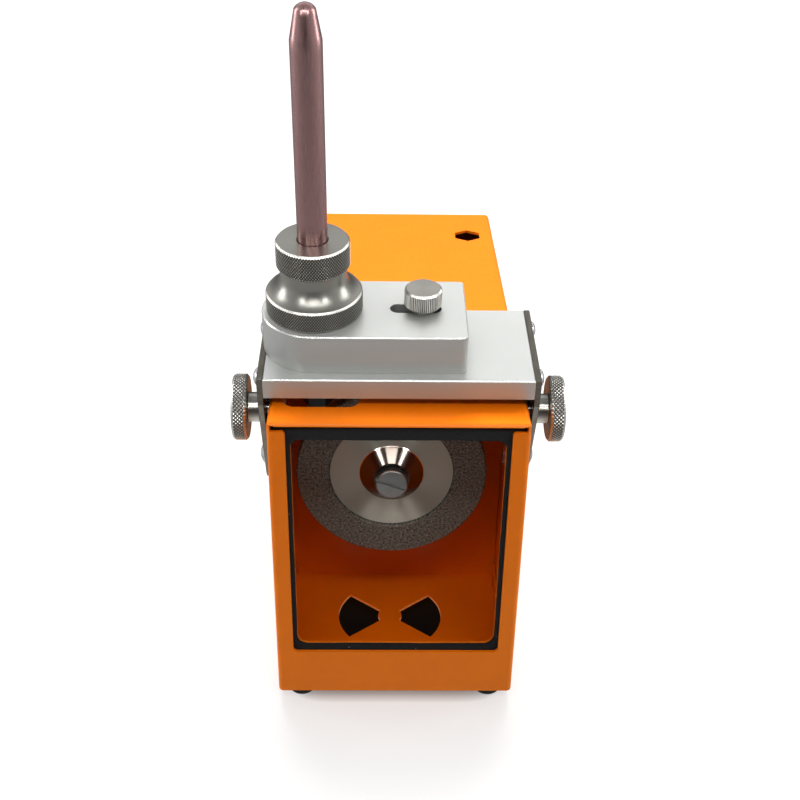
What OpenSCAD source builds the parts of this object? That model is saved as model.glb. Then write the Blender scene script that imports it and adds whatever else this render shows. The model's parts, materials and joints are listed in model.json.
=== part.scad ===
// Bench sharpener for tungsten electrodes: a sheet steel case with a motor-driven diamond face wheel,
// a tilting table over it, and a sliding carriage that turns the electrode chuck against the wheel.
// Millimetres, +Z up, the open chamber faces -Y. Lengths along Y start at the case's front plane.

/* [Case] */
// Width over the side sheets
case_w = 110; // [104:1:126]
// Depth of the case from front plane to rear edge
case_d = 237; // [226:1:270]
// Height of the case without its feet
case_h = 147.5; // [142:0.5:170]
// Sheet thickness of case, pan, rear panel and chamber wall
sheet_t = 1.5; // [1:0.1:2]
// Outside radius of the case's bends
bend_r = 2.5; // [2.2:0.1:4]
// Width of the front flanges beside the opening
flange_w = 7.7; // [6:0.1:9]
// Height of the front sill under the opening
sill_h = 24; // [18:0.5:30]
// Corner radius of the front opening
opening_r = 2.2; // [1:0.1:4]
// Rounding of the side flanges' upper corners
flange_r = 1.5; // [0.5:0.1:3]
// Height of the lip folded down from the top sheet
lip_h = 1.8; // [1.6:0.1:3.6]
// Gap between the lip and the ends of the side flanges
lip_gap = 2.4; // [0.6:0.1:3]
// Width of the relief notches at the ends of the lip
notch_w = 1.5; // [0.8:0.1:3]
// Height of the turned-up or turned-in sheet edges
hem_w = 9; // [7:0.5:12]
// Chamber wall: front face behind the front plane
wall_y = 85.5; // [84:0.5:96]
// Hexagon hole in the top that holds the chuck's nose, across flats
hex_hole_af = 13.6; // [13.3:0.1:15]
// Hexagon hole: place to the right of the middle
hex_hole_x = 40.5; // [30:0.5:42]
// Hexagon hole: distance from the rear edge
hex_hole_back = 32; // [20:0.5:45]
// Electrode slot in the top: front edge behind the front plane
slot_front = 13.6; // [10:0.2:16]
// Electrode slot in the top: length from front to back
slot_len = 44; // [42:0.5:50]
// Electrode slot in the top: corner radius
slot_r = 5; // [2:0.5:8]
// Electrode slot in the top: room on each side of the chuck
slot_side = 1; // [0.6:0.1:2]

/* [Window frame] */
// Frame: front face behind the front plane
frame_set = 6; // [5:0.5:9]
// Sheet thickness of the frame
frame_t = 1.2; // [0.8:0.1:2]
// Width of the frame inside the side sheets
frame_w = 8; // [7:0.5:12]
// Frame opening: top edge below the top of the case
frame_top = 10; // [8:0.5:14]
// Corner radius of the frame opening
frame_r = 5; // [2:0.5:8]
// Thickness of the foam seal
seal_t = 3.5; // [2:0.1:4]
// Height of the seal's upper strip
seal_strip = 6.4; // [4:0.1:7]

/* [Feet] */
// Height of a rubber foot under the case
foot_h = 7.5; // [5:0.5:12]
// Diameter of a rubber foot
foot_d = 13; // [10:0.5:16]
// Foot centre from the side of the case
foot_side = 10.5; // [9.5:0.5:16]
// Foot centre from the front and rear of the case
foot_end = 11; // [10:0.5:20]

/* [Wheel] */
// Diameter of the diamond wheel
wheel_d = 90; // [80:1:92]
// Wheel axis to the right of the middle
wheel_x = -2.3; // [-3:0.1:0]
// Wheel axis above the underside of the case
wheel_h = 88.5; // [84:0.5:92]
// Grinding face behind the front plane
wheel_face = 51; // [50:0.5:56]
// Width of the diamond ring
grit_w = 15.2; // [10:0.2:18]
// Depth of the diamond ring
grit_t = 6; // [4:0.5:8]
// Height of the diamond ring over the hub's face
grit_proud = 1.5; // [0.5:0.1:3]
// Hub thickness at the bore
hub_t = 16; // [14:0.5:20]
// Raised cone of the hub: diameter at the hub's face
cone_d = 30.8; // [26:0.2:36]
// Raised cone of the hub: diameter at its end
cone_end_d = 17.4; // [16:0.2:20]
// Raised cone of the hub: height over the hub's face
cone_h = 4.6; // [3:0.1:6]
// Head of the slotted wheel screw
wheel_screw_d = 15.6; // [13:0.2:15.8]
// Head height of the wheel screw
wheel_screw_h = 4.4; // [2.5:0.1:5]

/* [Motor] */
// Diameter of the motor
motor_d = 92; // [84:1:94]
// Length of the stator core
stator_l = 60; // [45:1:75]
// Bore of the stator
stator_bore = 51; // [44:0.5:54]
// Air gap between rotor and stator
air_gap = 0.5; // [0.3:0.1:1]
// Length of a motor end bell
bell_l = 14; // [13:0.5:18]
// Diameter of the motor shaft
shaft_d = 12; // [10:0.5:14]
// Outside diameter of a bearing
bearing_d = 28; // [26:0.5:32]
// Width of a bearing
bearing_w = 8; // [6:0.5:9]
// Diameter of the cooling fan
fan_d = 74; // [50:1:84]
// Number of fan blades
fan_blades = 9; // [5:1:12]
// Radial width of the windings' end turns
winding_w = 9; // [6:0.5:11]
// Diameter of the run capacitor
capacitor_d = 32; // [25:0.5:35]
// Length of the run capacitor
capacitor_l = 58; // [40:1:62]

/* [Table] */
// Lean of the table at rest, front down
tilt = 7; // [5:0.1:9]
// Tilt the table can gain from rest
tilt_more = 6; // [4:0.1:6]
// Tilt the table can lose from rest
tilt_less = 3; // [1:0.1:3]
// Tilt axis in front of the grinding face
pivot_ahead = 7; // [6:0.1:8]
// Tilt axis above the wheel axis
pivot_rise = 17; // [14:0.5:19]
// Plate: depth
plate_d = 55; // [50:0.5:60]
// Plate: thickness
plate_t = 9.5; // [8:0.1:12]
// Plate: front edge ahead of the tilt axis
plate_lead = 23.9; // [22:0.1:26]
// Plate: lower front edge above the case's top at rest
plate_clear = 3.6; // [3.5:0.1:6]
// Edge break of plate and carriage
edge_c = 0.5; // [0.2:0.1:1]
// Gap between case side and bracket
bracket_gap = 2; // [1:0.1:3]
// Thickness of a bracket
bracket_t = 2.5; // [2:0.1:4]
// Round end of a bracket about the tilt axis
bracket_r = 11; // [9:0.5:13]
// Straight ends of a bracket below its top edge
bracket_drop = 13.3; // [11:0.1:16]
// Radius of the clamp knobs' arc about the tilt axis
arc_r = 37; // [34:0.5:38]
// Lean of the clamp knobs ahead of the plate's normal
arc_lean = 18.5; // [16:0.5:19]
// Distance of the bracket screws from the plate's front and rear edges
bracket_screw_end = 9; // [7:0.5:12]
// Shank of the pivot screws
pivot_d = 6; // [5:0.1:7]

/* [Clamp knobs] */
// Diameter of a knob
knob_d = 29; // [24:0.5:34]
// Thickness of a knob
knob_t = 6.3; // [5:0.1:9]
// Collar between knob and bracket
collar_d = 13; // [11:0.5:16]
// Length of the collar
collar_l = 5.4; // [4:0.1:8]
// Diameter of the knob studs
stud_d = 6; // [5:0.1:6.5]

/* [Carriage] */
// Chuck axis left of the wheel axis
chuck_side = 33.6; // [31:0.1:34]
// Depth of the carriage block
block_d = 45; // [42:0.5:48]
// Height of the carriage block
block_h = 18; // [15:0.5:22]
// Right end of the block from the chuck axis
block_reach = 64.4; // [60:0.2:70]
// Corner radius at the right end of the block
block_r = 3; // [1.5:0.1:5]
// Travel of the carriage to the left
slide_left = 4.5; // [2:0.1:5]
// Travel of the carriage to the right
slide_right = 10.5; // [6:0.1:10.5]
// Locking screw from the chuck axis
lock_reach = 45.9; // [43:0.1:47]
// Shank of the locking screw
lock_d = 6; // [5:0.1:7]
// Width the slot has over the shank
lock_play = 0.8; // [0.5:0.1:1.5]
// Head of the locking screw
lock_head_d = 16; // [13:0.5:20]
// Head height of the locking screw
lock_head_h = 8.4; // [5:0.2:10]
// Neck under the head of the locking screw: diameter
lock_neck_d = 10; // [9.2:0.2:12]
// Neck under the head of the locking screw: height
lock_neck_h = 1.8; // [1:0.1:3]

/* [Chuck] */
// Lower ring: diameter
ring_d = 41; // [36:0.5:44]
// Lower ring: height of the knurled band
ring_h = 9.6; // [7:0.1:13]
// Neck above the lower ring
neck_d = 28; // [25:0.5:29]
// Height of the neck with its flare
neck_h = 11.6; // [10:0.1:16]
// Radius of the hollow between the neck and the lower ring
flare_r = 7.5; // [6:0.1:9]
// Sleeve of the spindle, outside
sleeve_d = 20; // [19:0.5:22]
// Wall of the bush in the block
bush_wall = 3; // [2:0.1:4]
// Shank of the chuck
chuck_d = 15; // [14.8:0.1:15.4]
// Hexagon nose of the chuck, across flats
nose_af = 12.8; // [12:0.1:12.8]
// Length of the chuck under the plate's top
nose_l = 30; // [26:0.5:31]
// Length of the collet's slim tip below the nose
tip_l = 12; // [8:0.5:13]
// Slim tip of the collet
tip_d = 5; // [4.4:0.1:6]
// Bore of the collet for the electrode
electrode_d = 2.4; // [1:0.1:3.2]
// Upper ring: diameter
head_d = 31; // [28:0.5:36]
// Upper ring: height
head_h = 11.7; // [10:0.1:16]
// Tail tube: diameter
tube_d = 12.4; // [11:0.1:14]
// Tail tube: straight length above the upper ring
tube_l = 82.6; // [60:0.2:100]
// Tail tube: length of its taper
taper_l = 11.5; // [8:0.1:16]
// Tail tube: diameter at the end of the taper
taper_d = 8.1; // [6:0.1:9]
// Tail tube: height of the domed end
dome_h = 2.2; // [1:0.1:3]

/* [Mains inlet] */
// Inlet to the right of the middle
inlet_x = 20; // [16:0.5:23]
// Middle of the inlet above the underside of the case
inlet_h = 52; // [46:0.5:70]
// Flange: width
inlet_w = 60; // [56:0.5:62]
// Flange: height
inlet_tall = 66; // [64:0.5:70]
// Flange: thickness
inlet_t = 3; // [2:0.1:4]
// Depth of the inlet body behind the panel
inlet_depth = 29; // [28:0.5:34]
// How far the rocker stands out of the flange
rocker_out = 3; // [2:0.1:4]

/* [Fits] */
// Radial clearance of a turning fit
run_fit = 0.05; // [0.03:0.01:0.09]
// Gap between faces that slide or turn on each other
face_gap = 0.1; // [0.05:0.01:0.2]
// Clearance of a seated sheet or bought-in part
seat_gap = 0.2; // [0.1:0.05:0.3]

/* [Hidden] */
$fn = 64;
// Overlap of joined shapes and overshoot of cuts
eps = 0.01;
cut = 1;

// Case planes
half_w = case_w / 2;
in_half = half_w - sheet_t;
top_z = foot_h + case_h;
floor_z = foot_h + sheet_t;
sill_z = foot_h + sill_h;
lip_z = top_z - lip_h;
flange_z = lip_z - lip_gap;
open_half = half_w - flange_w;
seal_top = top_z - frame_top + seal_strip;
rear_reach = inlet_t + rocker_out;
front_y = -(case_d + rear_reach) / 2;

// Wheel and motor stations along Y
wheel_z = foot_h + wheel_h;
hub_y = wheel_face + grit_proud;
hub_back = hub_y + hub_t;
cone_y = hub_y - cone_h;
washer_t = 1;
washer_d = cone_end_d - 0.6;
flange_seat = cone_d / 2 + 2.4;
bell_y = wall_y + sheet_t;
stator_y = bell_y + bell_l;
rear_bell_y = stator_y + stator_l;
rear_end = rear_bell_y + bell_l;
boss_d = bearing_d + 8;
boss_out = 4;
bell_plate = 4.5;
bearing_lip = 2;
front_seat = wall_y - boss_out + bearing_lip;
rear_seat = rear_end - bearing_lip - bearing_w;
bearing_c = 0.4;
bell_wall = 3;
tie_d = 4;
tie_r = motor_d / 2 - bell_wall - 2;
mount_d = 4;
mount_r = boss_d / 2 + 9;
fan_y = rear_end + 5;
fan_w = 12;
shaft_end = 2;
wheel_thread = shaft_d / 2;
wheel_thread_l = 14;

// Table frame: origin on the tilt axis, leaning with the plate
pivot_y = wheel_face - pivot_ahead;
pivot_z = wheel_z + pivot_rise;
bracket_in = half_w + bracket_gap;
bracket_out = bracket_in + bracket_t;
plate_w = 2 * bracket_in;
plate_under = (top_z + plate_clear - pivot_z + plate_lead * sin(tilt)) / cos(tilt);
table_h = plate_under + plate_t;
knob_in = bracket_out + collar_l;
knob_floor = 2;
nut_d = 11;
nut_l = 5;

// Carriage, measured from the plate's top and the chuck axis
chuck_x = wheel_x - chuck_side;
chuck_v = plate_d / 2 - plate_lead;
slide = slide_left + slide_right;
lock_w = lock_d + lock_play;
lock_x = chuck_x + lock_reach;
bush_d = sleeve_d + 2 * run_fit + 2 * bush_wall;
clip_room = 3.4;
clip_t = 1;
clip_h = 1.8;
clip_over = 1.8;
clip_under = 0.6;
clip_y = clip_h + face_gap;
clip_seat = sleeve_d / 2 - 0.6;
ring_z = block_h + face_gap;
neck_z = ring_z + ring_h + neck_h;
head_z = neck_z + face_gap;
tube_seat = 3.2;
chuck_top = head_z + head_h - tube_seat;
chuck_bore = 9;
chamfer = 0.9;

// Mains inlet, measured from the flange's face and middle
inlet_z = foot_h + inlet_h;
inlet_ear = 9;
inlet_rim = 3;
body_w = inlet_w - 2 * inlet_ear;
body_tall = inlet_tall - 2 * inlet_rim;
socket_w = 24.6;
socket_h = 17.2;
socket_depth = 16;
socket_z = -14;
socket_c = 5;
drawer_w = 24;
drawer_h = 9;
drawer_z = 3;
drawer_l = inlet_depth - 1;
drawer_lip = 1.2;
drawer_wall = 1.4;
rocker_w = 21;
rocker_h = 13;
rocker_z = 20;
rocker_pin = 3;
rocker_ear = 1.6;
rocker_deep = 9;
fuse_d = 5;
fuse_l = 20;
fuse_play = 1;

// Places every piece in the shared frame
module in_frame() { translate([0, front_y, 0]) children(); }

// Local Z along the wheel's axis towards the rear, zero at the front plane
module on_axle() { in_frame() translate([wheel_x, 0, wheel_z]) rotate([-90, 0, 0]) children(); }

// Origin on the tilt axis, Y along the plate and Z along its normal
module at_pivot() { in_frame() translate([0, pivot_y, pivot_z]) rotate([tilt, 0, 0]) children(); }

// Origin on the plate's top above the tilt axis
module on_plate() { at_pivot() translate([0, 0, table_h]) children(); }

// Origin where the chuck axis meets the plate's top
module on_chuck() { on_plate() translate([chuck_x, chuck_v, 0]) children(); }

// Outside of the rear panel at the inlet's middle
module at_inlet() { in_frame() translate([inlet_x, case_d, inlet_z]) children(); }

// Slab of an X-Z outline from y0 over t
module upright(y0, t) { translate([0, y0 + t, 0]) rotate([90, 0, 0]) linear_extrude(t) children(); }

// Slab of a Y-Z outline from x0 over t
module sideways(x0, t) { translate([x0, 0, 0]) rotate([90, 0, 90]) linear_extrude(t) children(); }

// Rectangle with round lower and upper corners
module soft_rect(x0, y0, x1, y1, low = 0, high = 0) {
    translate([x0, y0 + low]) square([x1 - x0, y1 - y0 - low - high]);
    if (low > 0) {
        translate([x0 + low, y0]) square([x1 - x0 - 2 * low, low + eps]);
        for (x = [x0 + low, x1 - low]) translate([x, y0 + low]) circle(low);
    }
    if (high > 0) {
        translate([x0 + high, y1 - high - eps]) square([x1 - x0 - 2 * high, high + eps]);
        for (x = [x0 + high, x1 - high]) translate([x, y1 - high]) circle(high);
    }
}

// Straight slot with round ends, from x0 to x1 between the end centres
module round_slot(x0, x1, w) {
    translate([x0, -w / 2]) square([x1 - x0, w]);
    for (x = [x0, x1]) translate([x, 0]) circle(d = w);
}

// Rectangle whose upper corners are broken by c
module broken_rect(x0, x1, z0, z1, c) {
    polygon([[x0, z0], [x1, z0], [x1, z1 - c], [x1 - c, z1], [x0 + c, z1], [x0, z1 - c]]);
}

// Ring or disc from its radii and heights
module ring(r_in, r_out, z0, z1) {
    rotate_extrude() translate([r_in, z0]) square([r_out - r_in, z1 - z0]);
}

// Turned disc with both rims broken by c, bored to r_in
module broken_ring(r_in, r_out, z0, z1, c) {
    rotate_extrude()
        polygon([[r_in, z0], [r_out - c, z0], [r_out, z0 + c], [r_out, z1 - c], [r_out - c, z1], [r_in, z1]]);
}

// Button-head screw along Z, its head's underside at zero and its shank below
module button_screw(head_d, head_h, shank_d, shank_l, key_af) {
    difference() {
        union() {
            translate([0, 0, -shank_l]) cylinder(d = shank_d, h = shank_l + eps);
            rotate_extrude() intersection() {
                translate([0, -head_d]) square([head_d / 2, head_d + head_h]);
                translate([0, head_h - head_d * 0.75]) circle(head_d * 0.75);
                square([head_d, head_d]);
            }
        }
        translate([0, 0, head_h - key_af / 2]) cylinder(d = key_af / cos(30), h = key_af, $fn = 6);
    }
}

// Both sides of the case: X mirrored for the left
module both_sides() {
    children();
    mirror([1, 0, 0]) children();
}

// Solid of the case drawn in by inset and run out by reach at the open rear and bottom
module case_form(inset, reach) {
    r = bend_r - inset;
    w = half_w - inset;
    z0 = foot_h - reach;
    z1 = top_z - inset;
    y1 = case_d + reach;
    intersection() {
        upright(inset, y1 - inset) soft_rect(-w, z0, w, z1, high = r);
        translate([0, 0, z0]) linear_extrude(z1 - z0) soft_rect(-w, inset, w, y1, low = r);
        sideways(-w, 2 * w) {
            translate([inset, z0]) square([y1 - inset, z1 - z0 - r]);
            translate([inset + r, z0]) square([y1 - inset - r, z1 - z0]);
            translate([inset + r, z1 - r]) circle(r);
        }
    }
}

// Front opening with the slit under the lip and the notches beside it
module front_opening() {
    soft_rect(-open_half, sill_z, open_half, flange_z + eps, low = opening_r);
    translate([-in_half, flange_z]) square([2 * in_half, lip_gap]);
    for (side = [0, 1]) mirror([side, 0]) translate([open_half, flange_z - flange_r]) difference() {
        translate([-eps, 0]) square([flange_r + eps, flange_r + eps]);
        translate([flange_r, 0]) circle(flange_r);
    }
    for (x = [-in_half, in_half - notch_w]) translate([x, flange_z])
        square([notch_w, lip_h + lip_gap - sheet_t]);
}

// Electrode slot in the case's top, in plan
module electrode_slot() {
    half = (chuck_d + slide) / 2 + slot_side;
    mid = chuck_x + (slide_right - slide_left) / 2;
    soft_rect(mid - half, slot_front, mid + half, slot_front + slot_len, low = slot_r, high = slot_r);
}

// Places on the right side of the case, as Y and Z from the front plane
pan_screw_end = 30;
pan_screw_places = [for (y = [pan_screw_end, case_d / 2, case_d - pan_screw_end]) [y, floor_z + hem_w / 2]];
panel_screw_places = [for (z = [0.25, 0.75]) [case_d - sheet_t - hem_w / 2, foot_h + case_h * z]];
side_screw_d = 3;
side_head_h = 1.8;
side_key = 2;

module case_shell() {
    color("darkorange") difference() {
        in_frame() difference() {
            case_form(0, 0);
            case_form(sheet_t, cut);
            upright(-cut, sheet_t + 2 * cut) front_opening();
            translate([0, 0, top_z - sheet_t - cut]) linear_extrude(sheet_t + 2 * cut) electrode_slot();
            translate([hex_hole_x, case_d - hex_hole_back, top_z - sheet_t - cut]) rotate([0, 0, 30])
                cylinder(d = hex_hole_af / cos(30), h = sheet_t + 2 * cut, $fn = 6);
            both_sides() for (p = concat(pan_screw_places, panel_screw_places))
                translate([in_half - cut, p.x, p.y]) rotate([0, 90, 0])
                    cylinder(d = side_screw_d + 2 * seat_gap, h = sheet_t + 2 * cut);
        }
        both_sides() at_pivot() {
            translate([in_half - cut, 0, 0]) rotate([0, 90, 0])
                cylinder(d = pivot_d + 2 * seat_gap, h = sheet_t + 2 * cut);
            at_stud() translate([0, 0, in_half - cut])
                cylinder(d = stud_d + 2 * seat_gap, h = sheet_t + 2 * cut);
        }
    }
}

// Clamp stud's axis in the table frame at rest, local Z to the right
module at_stud() {
    translate([0, -arc_r * sin(arc_lean), arc_r * cos(arc_lean)]) rotate([0, 90, 0]) children();
}

pan_half = in_half - seat_gap;
foot_places = [for (x = [-1, 1], y = [foot_end, case_d - foot_end]) [x * (half_w - foot_side), y]];
foot_bolt = 4;
foot_head_d = foot_d - 6;
foot_head_h = 2.2;
foot_recess = 3;
foot_nut_h = 2.5;

// Turned-up edges of the pan run clear of the window frame, the chamber wall's foot and the rear panel
pan_hems = [[frame_set + frame_t + 1, wall_y - 1],
            [wall_y + sheet_t + hem_w + 1, case_d - sheet_t - hem_w - 1]];

module base_pan() {
    sector_r = 26;
    sector_in = 6;
    sector_half = 39;
    depth = case_d - bend_r - sheet_t - seat_gap;
    color("darkorange") in_frame() difference() {
        union() {
            translate([-pan_half, bend_r, foot_h]) cube([2 * pan_half, depth, sheet_t]);
            both_sides() for (run = pan_hems) translate([pan_half - sheet_t, run[0], foot_h])
                cube([sheet_t, run[1] - run[0], sheet_t + hem_w]);
        }
        for (turn = [0, 180]) translate([wheel_x, hub_y, foot_h - cut]) rotate([0, 0, turn])
            linear_extrude(sheet_t + 2 * cut) intersection() {
                difference() {
                    circle(sector_r);
                    circle(sector_in);
                }
                polygon([[0, 0], [2 * sector_r, -2 * sector_r * tan(sector_half)],
                         [2 * sector_r, 2 * sector_r * tan(sector_half)]]);
            }
        for (p = foot_places) translate([p.x, p.y, foot_h - cut])
            cylinder(d = foot_bolt + 2 * seat_gap, h = sheet_t + 2 * cut);
        both_sides() for (p = pan_screw_places) translate([pan_half - sheet_t - cut, p.x, p.y])
            rotate([0, 90, 0]) cylinder(d = side_screw_d + 2 * run_fit, h = sheet_t + 2 * cut);
    }
}

module rear_panel() {
    vent_w = 3;
    vent_l = 34;
    vent_pitch = 8;
    vents = 6;
    vent_rise = 22;
    z0 = floor_z + seat_gap;
    z1 = top_z - sheet_t - seat_gap;
    y0 = case_d - sheet_t;
    color("darkorange") in_frame() difference() {
        union() {
            upright(y0, sheet_t) soft_rect(-pan_half, z0, pan_half, z1, high = bend_r - sheet_t);
            both_sides() translate([pan_half - sheet_t, y0 - hem_w, floor_z + hem_w])
                cube([sheet_t, hem_w + eps, case_h - 3 * hem_w]);
        }
        upright(y0 - cut, sheet_t + 2 * cut) translate([inlet_x, inlet_z])
            square([body_w + 2 * seat_gap, body_tall + 2 * seat_gap], center = true);
        for (i = [0 : vents - 1]) upright(y0 - cut, sheet_t + 2 * cut)
            translate([wheel_x, wheel_z + (i - (vents - 1) / 2) * vent_pitch + vent_rise])
                round_slot(-vent_l / 2, vent_l / 2, vent_w);
        both_sides() for (p = panel_screw_places) translate([pan_half - sheet_t - cut, p.x, p.y])
            rotate([0, 90, 0]) cylinder(d = side_screw_d + 2 * run_fit, h = sheet_t + 2 * cut);
        for (s = [-1, 1]) translate([inlet_x + s * inlet_screw_x, y0 - cut, inlet_z]) rotate([-90, 0, 0])
            cylinder(d = side_screw_d + 2 * run_fit, h = sheet_t + 2 * cut);
    }
}

module chamber_wall() {
    color("darkorange") difference() {
        in_frame() {
            upright(wall_y, sheet_t)
                soft_rect(-pan_half, floor_z, pan_half, top_z - sheet_t - seat_gap, high = bend_r - sheet_t);
            translate([-pan_half, wall_y, floor_z]) cube([2 * pan_half, sheet_t + hem_w, sheet_t]);
        }
        on_axle() translate([0, 0, wall_y - cut]) cylinder(d = boss_d + 2 * seat_gap, h = sheet_t + 2 * cut);
        on_axle() for (a = [45 : 90 : 315]) rotate([0, 0, a]) translate([mount_r, 0, wall_y - cut])
            cylinder(d = mount_d + 2 * run_fit, h = sheet_t + 2 * cut);
    }
}

frame_low = floor_z + hem_w + 2;
frame_step = 0.5;
seal_play = 0.4;

// Outline of the frame or the seal with its opening, grown by play at the opening
module window_outline(top, play) {
    difference() {
        translate([-in_half, frame_low]) square([2 * in_half, top - frame_low]);
        soft_rect(-in_half + frame_w - play, sill_z + frame_step - play, in_half - frame_w + play,
                  top_z - frame_top + play, low = frame_r, high = frame_r);
    }
}

module window_frame() {
    color("darkorange") in_frame() upright(frame_set, frame_t) window_outline(seal_top + seat_gap, 0);
}

module window_gasket() {
    color([0.09, 0.09, 0.1]) in_frame() upright(frame_set - seal_t, seal_t) intersection() {
        window_outline(seal_top, seal_play);
        translate([-in_half + seat_gap, 0]) square([2 * (in_half - seat_gap), top_z]);
    }
}

module rubber_feet() {
    edge = 1.5;
    color([0.08, 0.08, 0.08]) in_frame() for (p = foot_places) translate([p.x, p.y, 0]) difference() {
        rotate_extrude() {
            translate([0, edge]) square([foot_d / 2, foot_h - edge]);
            square([foot_d / 2 - edge, foot_h]);
            translate([foot_d / 2 - edge, edge]) circle(edge);
        }
        translate([0, 0, -cut]) cylinder(d = foot_head_d + 1, h = foot_recess + cut);
        translate([0, 0, -cut]) cylinder(d = foot_bolt + 2 * run_fit, h = foot_h + 2 * cut);
    }
}

module foot_screws() {
    color("silver") in_frame() for (p = foot_places) translate([p.x, p.y, 0]) {
        translate([0, 0, foot_recess - foot_head_h]) cylinder(d = foot_head_d, h = foot_head_h);
        translate([0, 0, foot_recess - eps])
            cylinder(d = foot_bolt, h = floor_z + foot_nut_h - foot_recess + eps);
        translate([0, 0, floor_z]) ring(foot_bolt / 2 - eps, foot_bolt * 0.9, 0, foot_nut_h);
    }
}

// Pan-head screws through the side sheets
module side_screws(places) {
    grip = 2 * sheet_t + seat_gap + side_screw_d;
    color("silver") in_frame() both_sides() for (p = places) translate([half_w, p.x, p.y]) rotate([0, 90, 0])
        button_screw(side_screw_d * 2, side_head_h, side_screw_d, grip, side_key);
}

module pan_screws() { side_screws(pan_screw_places); }

module panel_screws() { side_screws(panel_screw_places); }

module clinch_nuts() {
    color("silver") both_sides() at_pivot() {
        translate([in_half, 0, 0]) rotate([0, -90, 0]) ring(pivot_d / 2 + run_fit, nut_d / 2, 0, nut_l);
        at_stud() ring(stud_d / 2 + run_fit, nut_d / 2, in_half - nut_l, in_half);
    }
}

module front_bell() {
    r = motor_d / 2;
    color([0.62, 0.63, 0.64]) on_axle() difference() {
        union() {
            ring(shaft_d / 2 + 1, boss_d / 2, wall_y - boss_out, front_seat + bearing_w);
            ring(boss_d / 2 - 1, r, bell_y, bell_y + bell_plate);
            ring(r - bell_wall - tie_d, r, bell_y, stator_y);
        }
        translate([0, 0, front_seat]) cylinder(r = bearing_d / 2 + run_fit / 2, h = bell_l);
        for (a = [0 : 90 : 270]) rotate([0, 0, a]) translate([tie_r, 0, bell_y - cut])
            cylinder(d = tie_d + 2 * run_fit, h = bell_l + 2 * cut);
        for (a = [45 : 90 : 315]) rotate([0, 0, a]) translate([mount_r, 0, bell_y - cut])
            cylinder(d = mount_d + 2 * run_fit, h = bell_plate + 2 * cut);
    }
}

module front_bearing() {
    color("silver") on_axle()
        broken_ring(shaft_d / 2 + run_fit, bearing_d / 2, front_seat, front_seat + bearing_w, bearing_c);
}

module stator_core() {
    color([0.45, 0.46, 0.48]) on_axle() difference() {
        ring(stator_bore / 2, motor_d / 2, stator_y, rear_bell_y);
        for (a = [0 : 90 : 270]) rotate([0, 0, a]) translate([tie_r, 0, stator_y - cut])
            cylinder(d = tie_d + 2 * run_fit, h = stator_l + 2 * cut);
    }
}

module field_windings() {
    round_c = 2;
    out = bell_l - bell_plate - round_c;
    bell_gap = 1.5;
    r_out = motor_d / 2 - bell_wall - tie_d - bell_gap;
    r_in = r_out - winding_w;
    color([0.72, 0.38, 0.14]) on_axle() {
        broken_ring(r_in, r_out, stator_y - out, stator_y, round_c);
        broken_ring(r_in, r_out, rear_bell_y, rear_bell_y + out, round_c);
    }
}

module rear_bell() {
    r = motor_d / 2;
    vents = 6;
    vent_d = 9;
    color([0.62, 0.63, 0.64]) on_axle() difference() {
        union() {
            ring(shaft_d / 2 + 1, boss_d / 2, rear_seat, rear_end);
            ring(boss_d / 2 - 1, r, rear_end - bell_plate, rear_end);
            ring(r - bell_wall - tie_d, r, rear_bell_y, rear_end);
        }
        translate([0, 0, rear_end - bearing_lip - bell_l])
            cylinder(r = bearing_d / 2 + run_fit / 2, h = bell_l);
        for (a = [0 : 90 : 270]) rotate([0, 0, a]) translate([tie_r, 0, rear_bell_y - cut])
            cylinder(d = tie_d + 2 * run_fit, h = bell_l + 2 * cut);
        for (i = [0 : vents - 1]) rotate([0, 0, 15 + i * 360 / vents])
            translate([(boss_d / 2 + r - bell_wall - tie_d) / 2, 0, rear_end - bell_plate - cut])
                cylinder(d = vent_d, h = bell_plate + 2 * cut);
    }
}

module rear_bearing() {
    color("silver") on_axle()
        broken_ring(shaft_d / 2 + run_fit, bearing_d / 2, rear_seat, rear_seat + bearing_w, bearing_c);
}

module tie_bolts() {
    head_h = 3;
    color("silver") on_axle() for (a = [0 : 90 : 270]) rotate([0, 0, a]) translate([tie_r, 0, 0]) {
        translate([0, 0, bell_y + 1]) cylinder(d = tie_d, h = rear_end - bell_y);
        translate([0, 0, rear_end]) cylinder(d = tie_d * 1.7, h = head_h, $fn = 6);
    }
}

module motor_screws() {
    head_h = mount_d * 0.6;
    color("silver") on_axle() for (a = [45 : 90 : 315]) rotate([0, 0, a]) translate([mount_r, 0, wall_y])
        rotate([180, 0, 0]) button_screw(mount_d * 1.8, head_h, mount_d, sheet_t + bell_plate, head_h);
}

capacitor_x = 22;
capacitor_y = stator_y + 2;
capacitor_lift = 3;
capacitor_z = floor_z + capacitor_lift + capacitor_d / 2;
clip_wall = 1.2;
terminal_w = 4;
terminal_t = 0.8;
terminal_l = 6;

// Local Z along the capacitor towards the rear, zero at its front end
module at_capacitor() {
    in_frame() translate([capacitor_x, capacitor_y, capacitor_z]) rotate([-90, 0, 0]) children();
}

module run_capacitor() {
    rim_c = 1;
    color([0.86, 0.86, 0.83]) at_capacitor() {
        broken_ring(0, capacitor_d / 2, 0, capacitor_l, rim_c);
        for (s = [-1, 1]) translate([(s - 0.5) * terminal_w, -terminal_t / 2, capacitor_l])
            cube([terminal_w, terminal_t, terminal_l]);
    }
}

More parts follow.
